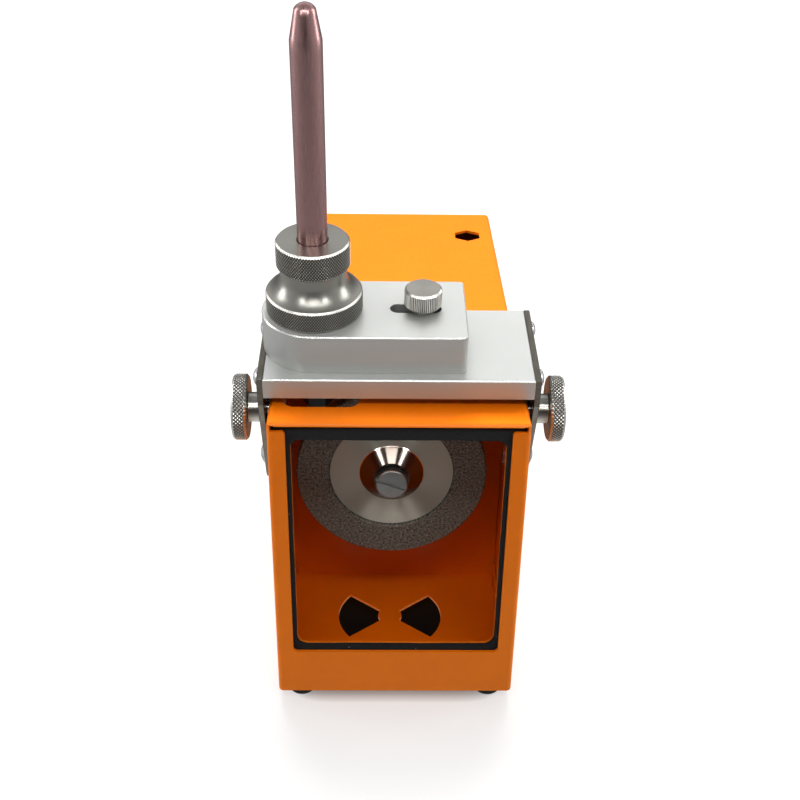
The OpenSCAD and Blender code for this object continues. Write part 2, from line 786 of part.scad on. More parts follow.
module capacitor_clip() {
    width = 14;
    ear = 8;
    web = 12;
    y0 = capacitor_y + (capacitor_l - width) / 2;
    r = capacitor_d / 2 + run_fit;
    color("silver") in_frame() difference() {
        union() {
            translate([capacitor_x, y0, capacitor_z]) rotate([-90, 0, 0]) ring(r, r + clip_wall, 0, width);
            translate([capacitor_x - r - ear, y0, floor_z]) cube([2 * (r + ear), width, clip_wall]);
            translate([capacitor_x - web / 2, y0, floor_z]) cube([web, width, capacitor_z - floor_z]);
        }
        translate([capacitor_x, y0 - cut, capacitor_z]) rotate([-90, 0, 0])
            cylinder(r = r, h = width + 2 * cut);
    }
}

module wiring() {
    lead_d = 6;
    stub = capacitor_y + capacitor_l + terminal_l;
    reach = capacitor_x - lead_d / 2 - wheel_x;
    motor_low = wheel_z - sqrt(motor_d * motor_d / 4 - reach * reach);
    can_top = capacitor_z + capacitor_d / 2;
    color([0.15, 0.15, 0.16]) in_frame() {
        translate([capacitor_x, stub, capacitor_z]) rotate([-90, 0, 0])
            cylinder(d = 2 * lead_d, h = case_d - inlet_depth - stub - seat_gap);
        translate([capacitor_x, capacitor_y + lead_d, can_top + seat_gap])
            cylinder(d = lead_d, h = motor_low - can_top - 2 * seat_gap);
    }
}

inlet_screw_x = (inlet_w - inlet_ear) / 2;
pin_w = 4;
pin_t = 2;
pin_places = [[-7, -2], [7, -2], [0, 2]];

// Outline of the three-pole socket with its broken upper corners
module socket_outline() {
    w = socket_w / 2;
    h = socket_h / 2;
    polygon([[-w, -h], [w, -h], [w, h - socket_c], [w - socket_c, h], [socket_c - w, h], [-w, h - socket_c]]);
}

module mains_inlet() {
    corner = 3;
    side = 0.5;
    deep = 4;
    color([0.1, 0.1, 0.11]) at_inlet() difference() {
        union() {
            upright(0, inlet_t)
                soft_rect(-inlet_w / 2, -inlet_tall / 2, inlet_w / 2, inlet_tall / 2, corner, corner);
            translate([-body_w / 2, -inlet_depth, -body_tall / 2]) cube([body_w, inlet_depth + eps, body_tall]);
        }
        upright(inlet_t - socket_depth, socket_depth + cut) translate([0, socket_z]) socket_outline();
        translate([-drawer_w / 2 - seat_gap, inlet_t - drawer_l - seat_gap, drawer_z - drawer_h / 2 - seat_gap])
            cube([drawer_w + 2 * seat_gap, drawer_l + seat_gap + cut, drawer_h + 2 * seat_gap]);
        translate([-rocker_w / 2 - side, inlet_t - rocker_deep - deep, rocker_z - rocker_h / 2 - 2 * side])
            cube([rocker_w + 2 * side, rocker_deep + deep + cut, rocker_h + 4 * side]);
        translate([-rocker_w / 2 - rocker_ear - side, inlet_t - rocker_deep / 2, rocker_z]) rotate([0, 90, 0])
            cylinder(d = rocker_pin + 2 * run_fit, h = rocker_w + 2 * (rocker_ear + side));
        for (s = [-1, 1]) translate([s * inlet_screw_x, -cut, 0]) rotate([-90, 0, 0])
            cylinder(d = side_screw_d + 2 * run_fit, h = inlet_t + 2 * cut);
    }
}

module inlet_pins() {
    pin_l = socket_depth - 2;
    color("silver") at_inlet() for (p = pin_places)
        translate([p.x - pin_t / 2, inlet_t - socket_depth, socket_z + p.y - pin_w / 2])
            cube([pin_t, pin_l, pin_w]);
}

module inlet_screws() {
    grip = inlet_t + sheet_t + 4;
    color("silver") at_inlet() for (s = [-1, 1]) translate([s * inlet_screw_x, inlet_t, 0])
        rotate([-90, 0, 0]) button_screw(side_screw_d * 1.9, side_head_h, side_screw_d, grip, side_key);
}

module power_rocker() {
    lean = 9;
    slack = 0.6;
    mid = rocker_deep / 2;
    crest = mid + rocker_out;
    dip = crest - rocker_h / 2 * tan(lean);
    color([0.75, 0.08, 0.06]) at_inlet() translate([0, inlet_t - mid, rocker_z]) {
        sideways(-rocker_w / 2, rocker_w) polygon([
            [-mid, -rocker_h * 0.3], [mid, slack - rocker_h / 2], [crest, 1.5 * slack - rocker_h / 2], [dip, 0],
            [dip - slack, rocker_h / 2 - slack], [mid, rocker_h / 2 - slack], [-mid, rocker_h * 0.3]]);
        translate([-rocker_w / 2 - rocker_ear, 0, 0]) rotate([0, 90, 0])
            cylinder(d = rocker_pin, h = rocker_w + 2 * rocker_ear);
    }
}

module fuse_drawer() {
    grip_h = 1.2;
    grip_deep = 0.6;
    color([0.13, 0.13, 0.14]) at_inlet() translate([0, inlet_t, drawer_z]) difference() {
        translate([-drawer_w / 2, -drawer_l, -drawer_h / 2]) cube([drawer_w, drawer_l + drawer_lip, drawer_h]);
        translate([-fuse_d / 2 - drawer_wall, drawer_wall - drawer_l, drawer_wall - drawer_h / 2])
            cube([fuse_d + 2 * drawer_wall, fuse_l + 2 * fuse_play, drawer_h]);
        translate([-drawer_w / 4, drawer_lip - grip_deep, drawer_h / 2 - 2 * grip_h])
            cube([drawer_w / 2, grip_deep + cut, grip_h]);
    }
}

module glass_fuse() {
    cap_l = 5;
    glass_d = 4.4;
    y0 = inlet_t - drawer_l + drawer_wall + fuse_play;
    base = drawer_z - drawer_h / 2 + drawer_wall + face_gap + fuse_d / 2;
    color([0.8, 0.82, 0.82]) at_inlet() translate([0, y0, base]) rotate([-90, 0, 0]) {
        cylinder(d = fuse_d, h = cap_l);
        translate([0, 0, cap_l - eps]) cylinder(d = glass_d, h = fuse_l - 2 * cap_l + 2 * eps);
        translate([0, 0, fuse_l - cap_l]) cylinder(d = fuse_d, h = cap_l);
    }
}

module motor_shaft() {
    nose_y = cone_y + seat_gap;
    color([0.7, 0.71, 0.72]) on_axle() difference() {
        translate([0, 0, nose_y]) cylinder(d = shaft_d, h = fan_y + fan_w + shaft_end - nose_y);
        translate([0, 0, nose_y - cut]) cylinder(d = wheel_thread + 2 * run_fit, h = wheel_thread_l + 2 * cut);
    }
}

module rotor_core() {
    color([0.5, 0.5, 0.52]) on_axle()
        broken_ring(shaft_d / 2 + run_fit / 2, stator_bore / 2 - air_gap, stator_y, rear_bell_y, 0.5);
}

module cooling_fan() {
    hub_r = shaft_d / 2 + 6;
    plate = 1.6;
    blade_in = hub_r + 4;
    color([0.2, 0.2, 0.22]) on_axle() {
        ring(shaft_d / 2 + run_fit / 2, hub_r, fan_y, fan_y + fan_w);
        ring(hub_r - eps, fan_d / 2, fan_y, fan_y + plate);
        for (i = [0 : fan_blades - 1]) rotate([0, 0, i * 360 / fan_blades])
            translate([blade_in, -plate / 2, fan_y + plate - eps])
                cube([fan_d / 2 - blade_in - 1, plate, fan_w - plate]);
    }
}

module wheel_flange() {
    neck_r = shaft_d / 2 + 2;
    thick = 4;
    stop = wall_y - boss_out - face_gap;
    color([0.55, 0.56, 0.57]) on_axle() {
        ring(shaft_d / 2 + run_fit / 2, flange_seat, hub_back, hub_back + thick);
        ring(shaft_d / 2 + run_fit / 2, neck_r, hub_back + thick - eps, stop);
    }
}

module wheel_core() {
    rim = grit_t - grit_proud + 4;
    rim_c = 0.8;
    face_c = 0.6;
    r = wheel_d / 2;
    grit_r = r - grit_w;
    bore_r = shaft_d / 2 + run_fit / 2;
    boss_r = flange_seat + 2;
    color([0.72, 0.71, 0.69]) on_axle() rotate_extrude() polygon([
        [cone_d / 2, hub_y], [grit_r - face_c, hub_y], [grit_r, hub_y + face_c], [grit_r, wheel_face + grit_t],
        [r, wheel_face + grit_t], [r, hub_y + rim - rim_c], [r - rim_c, hub_y + rim], [boss_r + 4, hub_y + rim],
        [boss_r, hub_back], [bore_r, hub_back], [bore_r, cone_y], [cone_end_d / 2, cone_y]]);
}

module diamond_ring() {
    rim_c = 0.5;
    color([0.47, 0.46, 0.45]) on_axle()
        broken_ring(wheel_d / 2 - grit_w + run_fit / 2, wheel_d / 2, wheel_face, wheel_face + grit_t, rim_c);
}

module wheel_washer() {
    color("silver") on_axle() ring(wheel_thread / 2 + seat_gap, washer_d / 2, cone_y - washer_t, cone_y);
}

module wheel_screw() {
    slot_w = 2;
    slot_deep = 1.6;
    slot_turn = 20;
    head_c = 0.7;
    head_y = cone_y - washer_t - wheel_screw_h;
    color([0.1, 0.1, 0.1]) on_axle() difference() {
        union() {
            broken_ring(0, wheel_screw_d / 2, head_y, head_y + wheel_screw_h, head_c);
            translate([0, 0, head_y + wheel_screw_h - eps]) cylinder(d = wheel_thread, h = wheel_thread_l);
        }
        rotate([0, 0, slot_turn]) translate([-wheel_screw_d, -slot_w / 2, head_y - cut])
            cube([2 * wheel_screw_d, slot_w, slot_deep + cut]);
    }
}

module pivot_screws() {
    grip = bracket_out + face_gap - in_half + nut_l;
    color("silver") both_sides() at_pivot() translate([bracket_out + face_gap, 0, 0]) rotate([0, 90, 0])
        button_screw(pivot_d * 1.75, pivot_d / 2, pivot_d, grip, pivot_d * 0.6);
}

module pivot_spacers() {
    color([0.92, 0.92, 0.9]) both_sides() at_pivot() translate([half_w, 0, 0]) rotate([0, 90, 0])
        ring(pivot_d / 2 + run_fit, bracket_r - 2, 0, bracket_gap - face_gap);
}

plate_back = plate_d - plate_lead;
bracket_screw_d = 4;
bracket_screw_l = 10;
bracket_screw_places = [bracket_screw_end - plate_lead, plate_back - bracket_screw_end];

module table_plate() {
    slot_play = 0.8;
    color([0.84, 0.85, 0.86]) on_plate() difference() {
        intersection() {
            sideways(-bracket_in, plate_w) broken_rect(-plate_lead, plate_back, -plate_t, 0, edge_c);
            upright(-plate_lead, plate_d) broken_rect(-bracket_in, bracket_in, -plate_t, 0, edge_c);
        }
        translate([chuck_x, chuck_v, -plate_t - cut]) linear_extrude(plate_t + 2 * cut)
            round_slot(-slide_left, slide_right, chuck_d + 2 * slot_play);
        translate([lock_x, chuck_v, -plate_t - cut]) cylinder(d = lock_d + 2 * run_fit, h = plate_t + 2 * cut);
        both_sides() for (v = bracket_screw_places) translate([bracket_in + cut, v, -plate_t / 2])
            rotate([0, -90, 0]) cylinder(d = bracket_screw_d + 2 * run_fit, h = bracket_screw_l + 3 * cut);
    }
}

// Tangent point on the bracket's round end for an outline corner, on the side given by turn
function tangent(corner, turn) =
    let (a = atan2(corner.y, corner.x) + turn * acos(bracket_r / norm(corner))) bracket_r * [cos(a), sin(a)];

// Bracket outline in the table frame with its bore and the arc for the clamp stud
module bracket_outline() {
    front = [-plate_lead, table_h - bracket_drop];
    back = [plate_back, table_h - bracket_drop];
    arc_play = 0.3;
    over = 0.6;
    arc_w = stud_d + 2 * arc_play;
    arc_0 = 90 + arc_lean - tilt_more - over;
    arc_1 = 90 + arc_lean + tilt_less + over;
    difference() {
        union() {
            polygon([[-plate_lead, table_h], front, tangent(front, 1), [0, 0], tangent(back, -1), back,
                     [plate_back, table_h]]);
            circle(bracket_r);
        }
        circle(d = pivot_d + 2 * run_fit);
        intersection() {
            difference() {
                circle(arc_r + arc_w / 2);
                circle(arc_r - arc_w / 2);
            }
            polygon([[0, 0], 2 * arc_r * [cos(arc_0), sin(arc_0)], 2 * arc_r * [cos(arc_1), sin(arc_1)]]);
        }
        for (a = [arc_0, arc_1]) translate(arc_r * [cos(a), sin(a)]) circle(d = arc_w);
        for (v = bracket_screw_places) translate([v, table_h - plate_t / 2])
            circle(d = bracket_screw_d + 2 * run_fit);
    }
}

// Bracket plate, its left face at x0
module bracket(x0) { color([0.6, 0.6, 0.58]) at_pivot() sideways(x0, bracket_t) bracket_outline(); }

module right_bracket() { bracket(bracket_in); }

module left_bracket() { bracket(-bracket_out); }

module bracket_screws() {
    head_h = bracket_screw_d * 0.55;
    grip = bracket_t + bracket_screw_l;
    color("silver") both_sides() on_plate() for (v = bracket_screw_places)
        translate([bracket_out, v, -plate_t / 2]) rotate([0, 90, 0])
            button_screw(bracket_screw_d * 1.9, head_h, bracket_screw_d, grip, bracket_screw_d * 0.6);
}

// Clamp knob with its collar, pointing right, bored for the stud
module clamp_knob() {
    color([0.66, 0.65, 0.63]) at_pivot() at_stud() difference() {
        union() {
            ring(0, collar_d / 2, bracket_out + face_gap, knob_in + eps);
            broken_ring(0, knob_d / 2, knob_in, knob_in + knob_t, chamfer);
        }
        translate([0, 0, bracket_out]) cylinder(d = stud_d + run_fit, h = collar_l + knob_t - knob_floor);
    }
}

// Threaded stud of a clamp knob, pointing right
module clamp_stud() {
    color("silver") at_pivot() at_stud() translate([0, 0, in_half - nut_l])
        cylinder(d = stud_d, h = knob_in + knob_t - knob_floor - seat_gap - in_half + nut_l);
}

module right_knob() { clamp_knob(); }

module right_stud() { clamp_stud(); }

module left_knob() { mirror([1, 0, 0]) clamp_knob(); }

module left_stud() { mirror([1, 0, 0]) clamp_stud(); }

module slide_block() {
    r = block_d / 2;
    foot = face_gap / 2;
    slot_0 = lock_reach - slide_right;
    slot_1 = lock_reach + slide_left;
    color([0.84, 0.85, 0.86]) on_chuck() difference() {
        union() {
            rotate_extrude()
                polygon([[0, foot], [r, foot], [r, block_h - edge_c], [r - edge_c, block_h], [0, block_h]]);
            intersection() {
                sideways(0, block_reach) broken_rect(-r, r, foot, block_h, edge_c);
                upright(-r, block_d) broken_rect(-block_reach, block_reach, foot, block_h, edge_c);
                linear_extrude(block_h) {
                    translate([0, -r]) square([block_reach - block_r, block_d]);
                    translate([0, block_r - r]) square([block_reach, block_d - 2 * block_r]);
                    for (s = [-1, 1]) translate([block_reach - block_r, s * (r - block_r)]) circle(block_r);
                }
            }
        }
        translate([0, 0, -cut]) cylinder(d = bush_d + run_fit, h = block_h + 2 * cut);
        translate([0, 0, -cut]) linear_extrude(block_h + 2 * cut) round_slot(slot_0, slot_1, lock_w);
    }
}

module spindle_bush() {
    color([0.72, 0.55, 0.28]) on_chuck() ring(sleeve_d / 2 + run_fit, bush_d / 2, clip_room, block_h);
}

module lock_screw() {
    neck_z0 = block_h + face_gap;
    head_z0 = neck_z0 + lock_neck_h;
    color([0.66, 0.65, 0.63]) on_plate() translate([lock_x, chuck_v, 0]) {
        translate([0, 0, edge_c - plate_t]) cylinder(d = lock_d, h = plate_t - edge_c + neck_z0 + eps);
        ring(0, lock_neck_d / 2, neck_z0, head_z0 + eps);
        broken_ring(0, lock_head_d / 2, head_z0, head_z0 + lock_head_h, chamfer);
    }
}

// Lower ring: knurled band, shallow dished shoulder and a hollow flare up to the neck
module spindle_ring() {
    r = ring_d / 2;
    band = ring_z + ring_h;
    flare = r - chamfer - neck_d / 2;
    rise = sqrt(flare_r * flare_r - pow(flare_r - flare, 2));
    color([0.68, 0.67, 0.64]) on_chuck() difference() {
        union() {
            broken_ring(0, r, ring_z, band, chamfer);
            rotate_extrude() difference() {
                translate([0, band - eps]) square([neck_d / 2 + flare, rise + eps]);
                translate([neck_d / 2 + flare_r, band + rise]) circle(flare_r);
            }
            translate([0, 0, band - eps]) cylinder(d = neck_d, h = neck_z - band + eps);
        }
        translate([0, 0, ring_z - cut]) cylinder(d = sleeve_d + run_fit, h = neck_z);
    }
}

module spindle_sleeve() {
    color([0.6, 0.6, 0.6]) on_chuck() difference() {
        ring(chuck_d / 2 + run_fit, sleeve_d / 2, clip_under, neck_z - 1);
        ring(clip_seat, sleeve_d, clip_y - face_gap, clip_y + clip_t + face_gap);
    }
}

module retaining_ring() {
    gap = 3;
    color([0.2, 0.2, 0.2]) on_chuck() difference() {
        ring(clip_seat + run_fit, sleeve_d / 2 + clip_over, clip_y, clip_y + clip_t);
        translate([0, -gap / 2, 0]) cube([sleeve_d, gap, clip_room]);
    }
}

module chuck_body() {
    step = -plate_t - 2;
    color([0.7, 0.7, 0.68]) on_chuck() difference() {
        union() {
            translate([0, 0, step]) cylinder(d = chuck_d, h = chuck_top - step);
            translate([0, 0, -nose_l]) cylinder(d = nose_af / cos(30), h = nose_l + step + eps, $fn = 6);
        }
        translate([0, 0, -nose_l - cut]) cylinder(d = chuck_bore, h = nose_l + chuck_top + 2 * cut);
    }
}

module collet() {
    bore_r = electrode_d / 2;
    tip_z = -nose_l - tip_l;
    top = chuck_top - 6;
    body_r = chuck_bore / 2 - run_fit;
    tip_grow = 0.6;
    color([0.8, 0.68, 0.4]) on_chuck() rotate_extrude() polygon([
        [bore_r, tip_z], [tip_d / 2, tip_z], [tip_d / 2 + tip_grow, tip_z + tip_l * 2 / 3], [body_r, -nose_l],
        [body_r, top], [bore_r, top]]);
}

module chuck_head() {
    color([0.68, 0.67, 0.64]) on_chuck() difference() {
        broken_ring(0, head_d / 2, head_z, head_z + head_h, chamfer);
        translate([0, 0, head_z - cut])
            cylinder(d = chuck_d + 2 * run_fit, h = chuck_top - head_z + cut + face_gap);
        translate([0, 0, head_z]) cylinder(d = tube_d + run_fit, h = head_h + cut);
    }
}

module tail_tube() {
    z0 = chuck_top + 2 * face_gap;
    z1 = head_z + head_h + tube_l;
    z2 = z1 + taper_l;
    bore_r = 2.5;
    cap_r = taper_d / 2;
    ball = (cap_r * cap_r + dome_h * dome_h) / (2 * dome_h);
    color([0.66, 0.44, 0.45]) on_chuck() rotate_extrude() difference() {
        union() {
            polygon([[0, z0], [tube_d / 2, z0], [tube_d / 2, z1], [cap_r, z2], [0, z2]]);
            intersection() {
                translate([0, z2 + dome_h - ball]) circle(ball);
                translate([0, z2 - eps]) square([cap_r, dome_h + cut]);
            }
        }
        translate([0, z0 - cut]) square([bore_r, z1 - z0]);
    }
}

case_shell();
base_pan();
rear_panel();
chamber_wall();
window_frame();
window_gasket();
rubber_feet();
foot_screws();
pan_screws();
panel_screws();
clinch_nuts();
front_bell();
front_bearing();
stator_core();
field_windings();
rear_bell();
rear_bearing();
tie_bolts();
motor_screws();
run_capacitor();
capacitor_clip();
wiring();
mains_inlet();
inlet_pins();
inlet_screws();
power_rocker();
fuse_drawer();
glass_fuse();
motor_shaft();
rotor_core();
cooling_fan();
wheel_flange();
wheel_core();
diamond_ring();
wheel_washer();
wheel_screw();
pivot_screws();
pivot_spacers();
table_plate();
left_bracket();
right_bracket();
bracket_screws();
left_knob();
left_stud();
right_knob();
right_stud();
slide_block();
spindle_bush();
lock_screw();
spindle_ring();
spindle_sleeve();
retaining_ring();
chuck_body();
collet();
chuck_head();
tail_tube();
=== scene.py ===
"""Dressed scene of a bench tool that sharpens tungsten electrodes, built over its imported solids.

Sizes of pieces and the camera's place are in millimetres, sizes of the studio in metres.
"""
import json
import logging
import math
from dataclasses import dataclass, field
from enum import Enum, IntEnum

import bmesh
import bpy
import numpy as np
from mathutils import Matrix, Vector

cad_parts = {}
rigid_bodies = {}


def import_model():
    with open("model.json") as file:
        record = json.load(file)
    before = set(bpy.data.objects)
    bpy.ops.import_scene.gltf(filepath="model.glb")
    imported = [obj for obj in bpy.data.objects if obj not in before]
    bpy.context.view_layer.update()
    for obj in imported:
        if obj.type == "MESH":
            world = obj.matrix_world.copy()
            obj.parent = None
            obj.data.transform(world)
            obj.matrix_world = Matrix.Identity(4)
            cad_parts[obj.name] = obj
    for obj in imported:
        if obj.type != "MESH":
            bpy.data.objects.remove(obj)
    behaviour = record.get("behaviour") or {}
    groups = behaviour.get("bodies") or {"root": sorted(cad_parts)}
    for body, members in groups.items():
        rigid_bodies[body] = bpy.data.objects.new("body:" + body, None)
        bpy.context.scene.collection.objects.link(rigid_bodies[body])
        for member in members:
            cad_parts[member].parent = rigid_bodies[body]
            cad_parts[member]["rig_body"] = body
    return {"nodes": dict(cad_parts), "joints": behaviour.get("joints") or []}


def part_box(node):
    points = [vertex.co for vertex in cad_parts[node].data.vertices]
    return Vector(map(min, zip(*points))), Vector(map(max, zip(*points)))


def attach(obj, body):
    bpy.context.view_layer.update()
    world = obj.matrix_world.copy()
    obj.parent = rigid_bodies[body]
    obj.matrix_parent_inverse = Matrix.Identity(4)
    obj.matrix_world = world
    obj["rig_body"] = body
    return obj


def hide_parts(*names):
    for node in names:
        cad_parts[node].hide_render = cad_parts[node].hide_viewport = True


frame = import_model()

logging.basicConfig(level=logging.INFO, format="%(message)s")
LOG = logging.getLogger("sharpener")
MM = 0.001
BLACK = (0.0, 0.0, 0.0, 1.0)
WHITE = (1.0, 1.0, 1.0, 1.0)
NOISE_SPAN = (0.3, 0.7)
GRID_REACH = 1e-7
SOLID_REACH = 2e-6
SOLID_FLAT = 0.4
BREAK_ANGLE = 40.0
Triple = tuple[float, float, float]
Names = tuple[str, ...]
Socket = bpy.types.NodeSocket


class Knurl(Enum):
    """Pattern that is rolled or cut into a grip."""

    NONE = "plain"
    DIAMOND = "crossed grooves"
    STRAIGHT = "grooves along the axis"


class Crease(Enum):
    """Angle in degrees past which an edge is drawn sharp."""

    SHEET = 26.0
    TURNED = 32.0
    CAST = 40.0


class Zone(IntEnum):
    """Which of a turned piece's finishes a stretch of its outline has."""

    BODY = 0
    WORKED = 1
    EDGE = 2


class Graph:
    """Shader graph of one material, with short calls for the nodes that the finishes share."""

    def __init__(self, name: str) -> None:
        """Starts a material with a principled shader.

        Args:
            name: Name of the material.
        """
        self.material = bpy.data.materials.new(name)
        self.material.use_nodes = True
        self.tree = self.material.node_tree
        self.tree.nodes.clear()
        self.shader = self.add("ShaderNodeBsdfPrincipled")
        output = self.add("ShaderNodeOutputMaterial")
        self.link(self.shader.outputs["BSDF"], output.inputs["Surface"])
        self.place = self.add("ShaderNodeTexCoord").outputs["Object"]

    def add(self, kind: str, **settings: object) -> bpy.types.Node:
        """Adds a node.

        Args:
            kind: Type of the node.
            settings: Properties to set on it.

        Returns:
            The new node.
        """
        node = self.tree.nodes.new(kind)
        for key, value in settings.items():
            setattr(node, key, value)
        return node

    def link(self, source: Socket, target: Socket) -> None:
        """Joins an output to an input."""
        self.tree.links.new(source, target)

    def set(self, **values: object) -> None:
        """Sets constant sockets of the shader, with underscores for the spaces in their names."""
        for key, value in values.items():
            self.shader.inputs[key.replace("_", " ")].default_value = value

    def feed(self, name: str, source: Socket) -> None:
        """Links an output to one of the shader's inputs."""
        self.link(source, self.shader.inputs[name])

    def moved(self, stretch: Triple, centre: Triple = (0.0, 0.0, 0.0)) -> Socket:
        """Object coordinates taken from a centre and stretched.

        Args:
            stretch: Factors along X, Y and Z.
            centre: Point in metres that becomes the origin.

        Returns:
            The socket of the changed coordinates.
        """
        mapping = self.add("ShaderNodeMapping")
        mapping.inputs["Location"].default_value = [-c * s for c, s in zip(centre, stretch)]
        mapping.inputs["Scale"].default_value = stretch
        self.link(self.place, mapping.inputs["Vector"])
        return mapping.outputs["Vector"]

    def noise(self, scale: float, detail: float = 2.0, rough: float = 0.5,
              at: Socket | None = None) -> Socket:
        """Cloudy noise.

        Args:
            scale: Cycles per metre.
            detail: Number of finer layers.
            rough: Weight of the finer layers.
            at: Coordinates, or None for Object coordinates.

        Returns:
            The socket of the noise, about 0.3 to 0.7.
        """
        node = self.add("ShaderNodeTexNoise")
        node.inputs["Scale"].default_value = scale
        node.inputs["Detail"].default_value = detail
        node.inputs["Roughness"].default_value = rough
        self.link(self.place if at is None else at, node.inputs["Vector"])
        return node.outputs["Fac"]

    def cells(self, scale: float) -> Socket:
        """Distance to the nearest of scattered points.

        Args:
            scale: Points to a metre.

        Returns:
            The socket of the distance, from 0 on a point.
        """
        node = self.add("ShaderNodeTexVoronoi")
        node.inputs["Scale"].default_value = scale
        self.link(self.place, node.inputs["Vector"])
        return node.outputs["Distance"]

    def span(self, source: Socket, low: float, high: float, to_low: float, to_high: float) -> Socket:
        """Carries one range over to another, clamped.

        Args:
            source: Socket to carry over.
            low: Lower end of its range.
            high: Upper end of its range.
            to_low: Result at the lower end.
            to_high: Result at the upper end.

        Returns:
            The socket of the result.
        """
        node = self.add("ShaderNodeMapRange")
        for key, value in zip(("From Min", "From Max", "To Min", "To Max"), (low, high, to_low, to_high)):
            node.inputs[key].default_value = value
        self.link(source, node.inputs["Value"])
        return node.outputs["Result"]

    def blend(self, share: Socket, first: tuple[float, ...], second: tuple[float, ...]) -> Socket:
        """Mixes two colours by a share.

        Args:
            share: Socket from 0 for the first colour to 1 for the second.
            first: First colour.
            second: Second colour.

        Returns:
            The socket of the mixed colour.
        """
        node = self.add("ShaderNodeMix", data_type="RGBA")
        colours = [slot for slot in node.inputs if slot.type == "RGBA"]
        self.link(share, node.inputs["Factor"])
        colours[0].default_value = (*first, 1.0)
        colours[1].default_value = (*second, 1.0)
        return next(slot for slot in node.outputs if slot.type == "RGBA")

    def bump(self, height: Socket, depth: float, strength: float = 1.0) -> None:
        """Raises the surface.

        Args:
            height: Socket of the height, from 0 to 1.
            depth: Metres for a full step.
            strength: Share of the slope that shows.
        """
        node = self.add("ShaderNodeBump")
        node.inputs["Strength"].default_value = strength
        node.inputs["Distance"].default_value = depth
        self.link(height, node.inputs["Height"])
        self.feed("Normal", node.outputs["Normal"])


@dataclass(frozen=True)
class Finish:
    """A finish: its slot, colour and gloss. Its look is drawn by the classes below."""

    slot: str
    colour: Triple
    gloss: float = 0.4
    metal: float = 0.0
    name: str = ""

    def material(self) -> bpy.types.Material:
        """The material of this finish, made once and shared by its pieces.

        Returns:
            The material.
        """
        title = (self.name or self.slot) + "_finish"
        known = bpy.data.materials.get(title)
        if known is not None:
            return known
        graph = Graph(title)
        graph.set(Metallic=self.metal, Roughness=self.gloss, Base_Color=(*self.colour, 1.0))
        self.draw(graph)
        graph.material.diffuse_color = (*self.colour, 1.0)
        return graph.material

    def tint(self, graph: Graph, share: Socket, dark: float, light: float) -> None:
        """Blends the colour by a share, from a darker to a lighter factor of itself."""
        tones = [tuple(min(1.0, c * factor) for c in self.colour) for factor in (dark, light)]
        graph.feed("Base Color", graph.blend(share, *tones))

    def dull(self, graph: Graph, share: Socket, low: float, high: float,
             over: tuple[float, float] = NOISE_SPAN) -> None:
        """Carries a share, over the range that it has, to the roughness."""
        graph.feed("Roughness", graph.span(share, *over, low, high))

    def draw(self, graph: Graph) -> None:
        """Adds faint mottling and a fine grain, as on a plain moulded or cast face."""
        self.tint(graph, graph.noise(scale=260.0, detail=3.0), dark=0.86, light=1.1)
        graph.bump(graph.noise(scale=2600.0, detail=2.0), depth=0.00006)


@dataclass(frozen=True)
class PowderCoat(Finish):
    """Baked powder paint with a fine orange peel."""

    def draw(self, graph: Graph) -> None:
        """Mottles the colour a little, varies the gloss and raises the peel."""
        graph.set(Specular_IOR_Level=0.36)
        self.tint(graph, graph.noise(scale=60.0, detail=4.0), dark=0.93, light=1.05)
        self.dull(graph, graph.noise(scale=420.0, detail=3.0), self.gloss - 0.05, self.gloss + 0.07)
        graph.bump(graph.noise(scale=950.0, detail=2.0, rough=0.4), depth=0.00022, strength=0.35)


@dataclass(frozen=True)
class BlastedAluminium(Finish):
    """Bead-blasted and clear-anodised aluminium: an even frost of tiny dents."""

    def draw(self, graph: Graph) -> None:
        """Frosts the metal with fine dents and very faint clouds."""
        self.tint(graph, graph.noise(scale=38.0, detail=4.0), dark=0.94, light=1.04)
        graph.bump(graph.noise(scale=1700.0, detail=2.0, rough=0.6), depth=0.00006, strength=0.12)


@dataclass(frozen=True)
class TurnedMetal(Finish):
    """Metal turned in a lathe: fine rings that stretch highlights across them."""

    stretch: float = 0.6

    def draw(self, graph: Graph) -> None:
        """Lays rings along the surface's own map and turns the gloss a quarter round to lie across them."""
        graph.set(Anisotropic=self.stretch, Anisotropic_Rotation=0.25)
        grain = graph.add("ShaderNodeUVMap", uv_map="wrap").outputs["UV"]
        rings = graph.add("ShaderNodeMapping")
        rings.inputs["Scale"].default_value = (2.0, 1.0, 1.0)
        graph.link(grain, rings.inputs["Vector"])
        marks = graph.noise(scale=7.0, detail=3.0, rough=0.6, at=rings.outputs["Vector"])
        tangent = graph.add("ShaderNodeTangent", direction_type="UV_MAP", uv_map="wrap")
        graph.feed("Tangent", tangent.outputs["Tangent"])
        self.tint(graph, marks, dark=0.9, light=1.07)
        self.dull(graph, marks, self.gloss * 0.9, self.gloss * 1.12)
        graph.bump(marks, depth=0.00001, strength=0.3)


@dataclass(frozen=True)
class KnurledMetal(Finish):
    """Knurled grip: painted shade in the grooves and a painted highlight on the tips, over some grime and
    wear.
    """

    def draw(self, graph: Graph) -> None:
        """Paints shade into the grooves and a highlight onto the tips by the piece's own relief attribute."""
        relief = graph.add("ShaderNodeAttribute", attribute_name="relief").outputs["Fac"]
        # painted shade and highlight: the colour runs from dark in a groove to light on a tip
        groove_shade_tip_highlight = graph.span(relief, 0.1, 0.95, 0.0, 1.0)
        self.tint(graph, groove_shade_tip_highlight, dark=0.16, light=1.55)
        self.dull(graph, relief, self.gloss + 0.15, self.gloss - 0.06, (0.0, 1.0))


@dataclass(frozen=True)
class Anodised(Finish):
    """Coloured anodising over metal that was drawn along its axis."""

    def draw(self, graph: Graph) -> None:
        """Draws long faint streaks along the piece and a fine tooth."""
        streaks = graph.noise(scale=1400.0, detail=2.0, rough=0.5, at=graph.moved((1.0, 1.0, 0.04)))
        self.tint(graph, streaks, dark=0.9, light=1.07)
        self.dull(graph, streaks, self.gloss - 0.05, self.gloss + 0.05)
        graph.bump(graph.noise(scale=4200.0, detail=1.0), depth=0.00003, strength=0.4)


